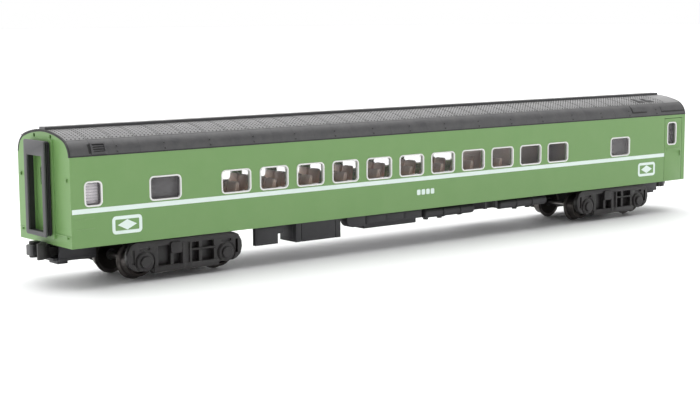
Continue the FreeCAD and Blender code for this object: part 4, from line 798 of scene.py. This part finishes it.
def draw_vent(shape):
    """Framed vent low on the roof, with slats across a dark opening."""
    start, end = VENT_ALONG
    bottom, top = VENT_ARC
    opening = (start + VENT_POST, end - VENT_POST)
    for post in ((start, start + VENT_POST), (end - VENT_POST, end)):
        flat_strip(shape, post, VENT_ARC, VENT_RIM_LIFT)
    for rail in ((bottom, bottom + VENT_SILL), (top - VENT_HEAD, top)):
        flat_strip(shape, opening, rail, VENT_RIM_LIFT)
    for index in range(VENT_SLATS):
        arc = bottom + VENT_FIRST_SLAT + VENT_SLAT_STEP * index
        flat_strip(shape, opening, (arc, arc + VENT_SLAT_WIDTH), VENT_SLAT_LIFT)


# Painted shade inside the vent opening, and a painted shadow beside the vent.
def draw_vent_shade(shape):
    draw_strips(shape, VENT_SHADE_STRIPS)


def draw_hatches(shape):
    """Two stepped hatches high on the roof, and two flat plates low on it."""
    for start, end in HATCHES_ALONG:
        flat_strip(shape, (start, end), HATCH_ARC, HATCH_LIFT)
        flat_strip(shape, (start + HATCH_LID_IN, end - HATCH_LID_IN), HATCH_LID_ARC, HATCH_LID_LIFT)
    draw_strips(shape, LOW_PLATES)


# Painted shadows: dark strips along the -X side and the lower edge of each hatch and low plate.
def draw_hatch_shadows(shape):
    draw_strips(shape, LOW_PLATE_SHADOWS)
    for along in HATCH_SHADOWS_FROM:
        flat_strip(shape, (along, along + HATCH_SHADOW_WIDTH), HATCH_ARC, LINE_LIFT)
        flat_strip(shape, (along, along + HATCH_SHADOW_LENGTH), HATCH_SHADOW_ARC, LINE_LIFT)


def roof_fittings():
    # painted shade in the vent opening and painted shadow beside the vent
    both_roof_sides(draw_vent_shade, "roof_vent_shade", ROOF_BLACK_AND_SHADOW)
    # painted shadows beside the hatches and low plates
    both_roof_sides(draw_hatch_shadows, "roof_painted_shadows", ROOF_BLACK_AND_SHADOW)
    both_roof_sides(draw_hatches, "roof_hatches", ROOF_GREY)
    both_roof_sides(draw_vent, "roof_vent", ROOF_GREY)
    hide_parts("roof_vents")


# ---- printed lines and devices on the sides ----
PRINT_DEPTH = 0.02 * MM
PRINT_CORNER_SEGMENTS = 4
STRIPE = ((-80.8 * MM, 73.5 * MM), (BODY_BOTTOM + 5.82 * MM, BODY_BOTTOM + 6.65 * MM))
STRIPE_ROUND = 0.04 * MM
LEFT_DEVICE = (-73.2 * MM, -67.3 * MM)
RIGHT_DEVICE = (64.3 * MM, 70.3 * MM)
DEVICE_UP = (BODY_BOTTOM + 1.73 * MM, BODY_BOTTOM + 4.87 * MM)
DEVICE_ROUND = 0.7 * MM
DEVICE_RING = 0.60 * MM
DIAMOND_HALF_WIDTH = 1.9 * MM
DIAMOND_HALF_HEIGHT = 0.9 * MM
NUMBER_BLOCKS = 4
NUMBER_START = -3.6 * MM
NUMBER_STEP = 1.24 * MM
NUMBER_WIDTH = 0.95 * MM
NUMBER_UP = (BODY_BOTTOM + 2.95 * MM, BODY_BOTTOM + 4.05 * MM)
NUMBER_ROUND = 0.25 * MM


def print_sheet(shape, along, up, round_off, ring=0.0):
    """Flat rounded rectangle of ink on the near side, or the ring round its edge."""
    size = Matrix.Diagonal((along[1] - along[0], up[1] - up[0], 1, 1))
    stand = Matrix.Rotation(math.pi / 2, 4, "X")
    middle = Vector(((along[0] + along[1]) / 2, -SIDE_Y, (up[0] + up[1]) / 2))
    made = bmesh.ops.create_grid(shape, x_segments=1, y_segments=1, size=0.5,
                                 matrix=Matrix.Translation(middle) @ stand @ size)["verts"]
    rounded = bmesh.ops.bevel(shape, geom=made, offset=round_off, offset_type="OFFSET", affect="VERTICES",
                              segments=PRINT_CORNER_SEGMENTS, profile=0.5, material=-1)
    face = next(iter(rounded["verts"][0].link_faces))
    if ring:
        bmesh.ops.inset_region(shape, faces=[face], thickness=ring, use_even_offset=True, use_boundary=True)
        bmesh.ops.delete(shape, geom=[face], context="FACES_ONLY")


def print_diamond(shape, middle, half_width, half_height):
    place = (Matrix.Translation((middle[0], -SIDE_Y, middle[1])) @ Matrix.Rotation(math.pi / 2, 4, "X")
             @ Matrix.Diagonal((half_width, half_height, 1, 1)))
    bmesh.ops.create_circle(shape, cap_ends=True, segments=4, radius=1.0, matrix=place)


def thicken_print(shape, side):
    """Gives the ink its depth outwards, and mirrors it for the far side."""
    raised = bmesh.ops.extrude_face_region(shape, geom=list(shape.faces))["geom"]
    moved = [item for item in raised if isinstance(item, bmesh.types.BMVert)]
    bmesh.ops.translate(shape, verts=moved, vec=(0, -PRINT_DEPTH, 0))
    if side > 0:
        bmesh.ops.scale(shape, verts=shape.verts, vec=(1, -1, 1))


def draw_stripe(shape):
    print_sheet(shape, *STRIPE, STRIPE_ROUND)


def draw_device(shape, along):
    """Round-cornered ring with a diamond in it."""
    print_sheet(shape, along, DEVICE_UP, DEVICE_ROUND, DEVICE_RING)
    middle = ((along[0] + along[1]) / 2, (DEVICE_UP[0] + DEVICE_UP[1]) / 2)
    print_diamond(shape, middle, DIAMOND_HALF_WIDTH, DIAMOND_HALF_HEIGHT)


def draw_left_device(shape):
    draw_device(shape, LEFT_DEVICE)


def draw_right_device(shape):
    draw_device(shape, RIGHT_DEVICE)


def draw_number_blocks(shape):
    for index in range(NUMBER_BLOCKS):
        start = NUMBER_START + NUMBER_STEP * index
        print_sheet(shape, (start, start + NUMBER_WIDTH), NUMBER_UP, NUMBER_ROUND)


def side_prints():
    drawings = (("stripe", draw_stripe), ("left_device", draw_left_device),
                ("right_device", draw_right_device), ("number_blocks", draw_number_blocks))
    for name, draw in drawings:
        for side, label in ((-1, "near"), (1, "far")):
            shape = bmesh.new()
            draw(shape)
            thicken_print(shape, side)
            add_piece("printed_" + name + "_" + label, shape, PRINT_WHITE)


RIB_ALONG = (-80.0 * MM, -76.5 * MM)
RIBS_UP = (3.15 * MM, 4.85 * MM)
RIB_HEIGHT = 0.09 * MM
RIB_SINK = 0.05 * MM
RIB_PROUD = 0.035 * MM
RIB_EDGE = 0.02 * MM


def side_ribs():
    """Two faint ribs low on each side, by the plain end."""
    for side, label in ((-1, "near"), (1, "far")):
        shape = bmesh.new()
        low_y, high_y = sorted((side * (SIDE_Y - RIB_SINK), side * (SIDE_Y + RIB_PROUD)))
        for up in RIBS_UP:
            add_block(shape, (RIB_ALONG[0], low_y, BODY_BOTTOM + up),
                      (RIB_ALONG[1], high_y, BODY_BOTTOM + up + RIB_HEIGHT), RIB_EDGE)
        add_piece("side_ribs_" + label, shape, GREEN)


# ---- wash room panes: a clear front over a shallow well ----
WELL_DEPTH = 0.85 * MM
PANE_FACE_Y = SIDE_Y - 0.14 * MM
WINDOW_LOW = BODY_BOTTOM + 6.87 * MM
WINDOW_HIGH = BODY_BOTTOM + 11.29 * MM
WASH_PANES = (
    ("vestibule", -78.44, -74.89, BLIND_PALE),
    ("wide", -65.70, -59.10, PANE_BACK),
    ("corridor", 54.60, 61.30, PANE_BACK),
)
BAND = 0.32 * MM
PANE_EDGE = 0.03 * MM
PANE_BACK_THICK = 0.3 * MM
PANE_FRONT_THICK = 0.1 * MM
WELL_START = 0.12 * MM
WELL_WALL = 0.08 * MM
DOOR_PANE_ALONG = (74.9 * MM, 77.5 * MM)
DOOR_PANE_UP = (BODY_BOTTOM + 8.75 * MM, BODY_BOTTOM + 13.5 * MM)
DOOR_PANE_Y = SIDE_Y - 0.9 * MM
DOOR_PANE_THICK = 0.1 * MM


def pane_box(shape, low_x, high_x, low_z, high_z, front, depth, side, edge=0.0):
    low_y, high_y = sorted((side * front, side * (front - depth)))
    add_block(shape, (low_x, low_y, low_z), (high_x, high_y, high_z), edge)


def wash_room_panes():
    """Back, four side walls and clear front of each pane; the frame's plain panes are hidden."""
    stand_in = None
    for label, low, high, back in WASH_PANES:
        low_x, high_x = low * MM + BAND, high * MM - BAND
        low_z, high_z = WINDOW_LOW + BAND, WINDOW_HIGH - BAND
        for side, where in ((-1, "near"), (1, "far")):
            shape = bmesh.new()
            pane_box(shape, low_x, high_x, low_z, high_z, PANE_FACE_Y - WELL_DEPTH, PANE_BACK_THICK, side,
                     PANE_EDGE)
            stand_in = add_piece("pane_back_" + label + "_" + where, shape, back)
            # the well's walls are coloured near-black as painted shade of the recess
            shape = bmesh.new()
            front = PANE_FACE_Y - WELL_START
            left, right = low_x + WELL_WALL, high_x - WELL_WALL
            pane_box(shape, right, high_x, low_z, high_z, front, WELL_DEPTH, side)
            pane_box(shape, low_x, left, low_z, high_z, front, WELL_DEPTH, side)
            pane_box(shape, left, right, low_z, low_z + WELL_WALL, front, WELL_DEPTH, side)
            pane_box(shape, left, right, high_z - WELL_WALL, high_z, front, WELL_DEPTH, side)
            add_piece("pane_well_" + label + "_" + where, shape, REVEAL_PAINTED_SHADE)
            shape = bmesh.new()
            pane_box(shape, low_x, high_x, low_z, high_z, PANE_FACE_Y, PANE_FRONT_THICK, side, PANE_EDGE)
            add_piece("pane_front_" + label + "_" + where, shape, CLEAR_PANE)
    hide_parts("blank_panes")


def door_window_backs():
    """Smoked panes behind the windows of the side doors."""
    for side, where in ((-1, "near"), (1, "far")):
        shape = bmesh.new()
        pane_box(shape, *DOOR_PANE_ALONG, *DOOR_PANE_UP, DOOR_PANE_Y, DOOR_PANE_THICK, side, PANE_EDGE)
        add_piece("door_blind_" + where, shape, PANE_BACK)


# ---- ends ----
FITTING_SINK = 0.05 * MM
FITTING_EDGE = 0.05 * MM
LAMP_Y = 8.35 * MM
LAMP_UP = 11.55 * MM
LAMP_PROUD = 0.28 * MM
LAMP_HALF_WIDTH = 0.28 * MM
LAMP_LIP_INNER = 0.12 * MM
LAMP_LIP_OUTER = 0.3 * MM
LAMP_PIN_R = 0.16 * MM
PIN_LENGTH = 0.4 * MM
PIN_MIDDLE = 0.1 * MM
BOSS_Y = 8.3 * MM
BOSS_UP = 1.75 * MM
BOSS_R = 0.24 * MM
LEDGE_Y = (4.15 * MM, 9.3 * MM)
LEDGE_UP = (BODY_BOTTOM + 1.95 * MM, BODY_BOTTOM + 2.15 * MM)
LEDGE_PROUD = 0.16 * MM


def end_fittings():
    """Lamp brackets, step bosses and a ledge on both end walls."""
    for end, label in ((-1, "plain_end"), (1, "vestibule_end")):
        wall = end * HALF_LENGTH
        pin_x = wall + end * PIN_MIDDLE
        low_x, high_x = sorted((wall - end * FITTING_SINK, wall + end * LAMP_PROUD))
        shape = bmesh.new()
        for side in (-1, 1):
            y = side * LAMP_Y
            z = BODY_BOTTOM + LAMP_UP
            for low_z, high_z in ((z - LAMP_LIP_OUTER, z - LAMP_LIP_INNER),
                                  (z + LAMP_LIP_INNER, z + LAMP_LIP_OUTER)):
                add_block(shape, (low_x, y - LAMP_HALF_WIDTH, low_z),
                          (high_x, y + LAMP_HALF_WIDTH, high_z), FITTING_EDGE)
            add_round(shape, LAMP_PIN_R, PIN_LENGTH, facing((pin_x, y, z), (end, 0, 0)))
            boss = (pin_x, side * BOSS_Y, BODY_BOTTOM + BOSS_UP)
            add_round(shape, BOSS_R, PIN_LENGTH, facing(boss, (end, 0, 0)))
        add_piece("end_brackets_" + label, shape, GREEN)
        shape = bmesh.new()
        low_x, high_x = sorted((wall - end * FITTING_SINK, wall + end * LEDGE_PROUD))
        for side in (-1, 1):
            low_y, high_y = sorted((side * LEDGE_Y[0], side * LEDGE_Y[1]))
            add_block(shape, (low_x, low_y, LEDGE_UP[0]), (high_x, high_y, LEDGE_UP[1]), FITTING_EDGE)
        add_piece("end_ledge_" + label, shape, GREEN)


# ---- frame pieces whose edges are rounded, with the rounding in millimetres ----
SOFTENED = (
    ("face_plates", 0.08), ("bellows", 0.06), ("end_doors", 0.05), ("battery_boxes", 0.08),
    ("cooling_units", 0.08), ("regulator_cases", 0.08), ("equipment_lockers", 0.08),
    ("draft_boxes", 0.08), ("draft_box_lids", 0.08), ("coupler_a", 0.10), ("coupler_b", 0.10),
    ("truck_a_side_frames", 0.05), ("truck_b_side_frames", 0.05),
    ("truck_a_springs", 0.05), ("truck_b_springs", 0.05),
    ("truck_a_bolster", 0.06), ("truck_b_bolster", 0.06),
    ("seats", 0.10), ("window_frames", 0.04), ("valve_gear", 0.04), ("side_doors", 0.04),
)
KNUCKLE_EDGE = 0.10 * MM


def soften_frame_pieces():
    for node, edge in SOFTENED:
        softened(node, edge * MM)
    for node in ("knuckle_a", "knuckle_b"):
        softened(node, KNUCKLE_EDGE, KNUCKLE_GREY)


# ---- the whole coach ----
bpy.context.scene.view_settings.view_transform = "Standard"
make_camera()
make_studio()
finish_frame_nodes()
soften_frame_pieces()
roof_seams_and_rivets()
roof_fittings()
side_prints()
side_ribs()
wash_room_panes()
door_window_backs()
end_fittings()
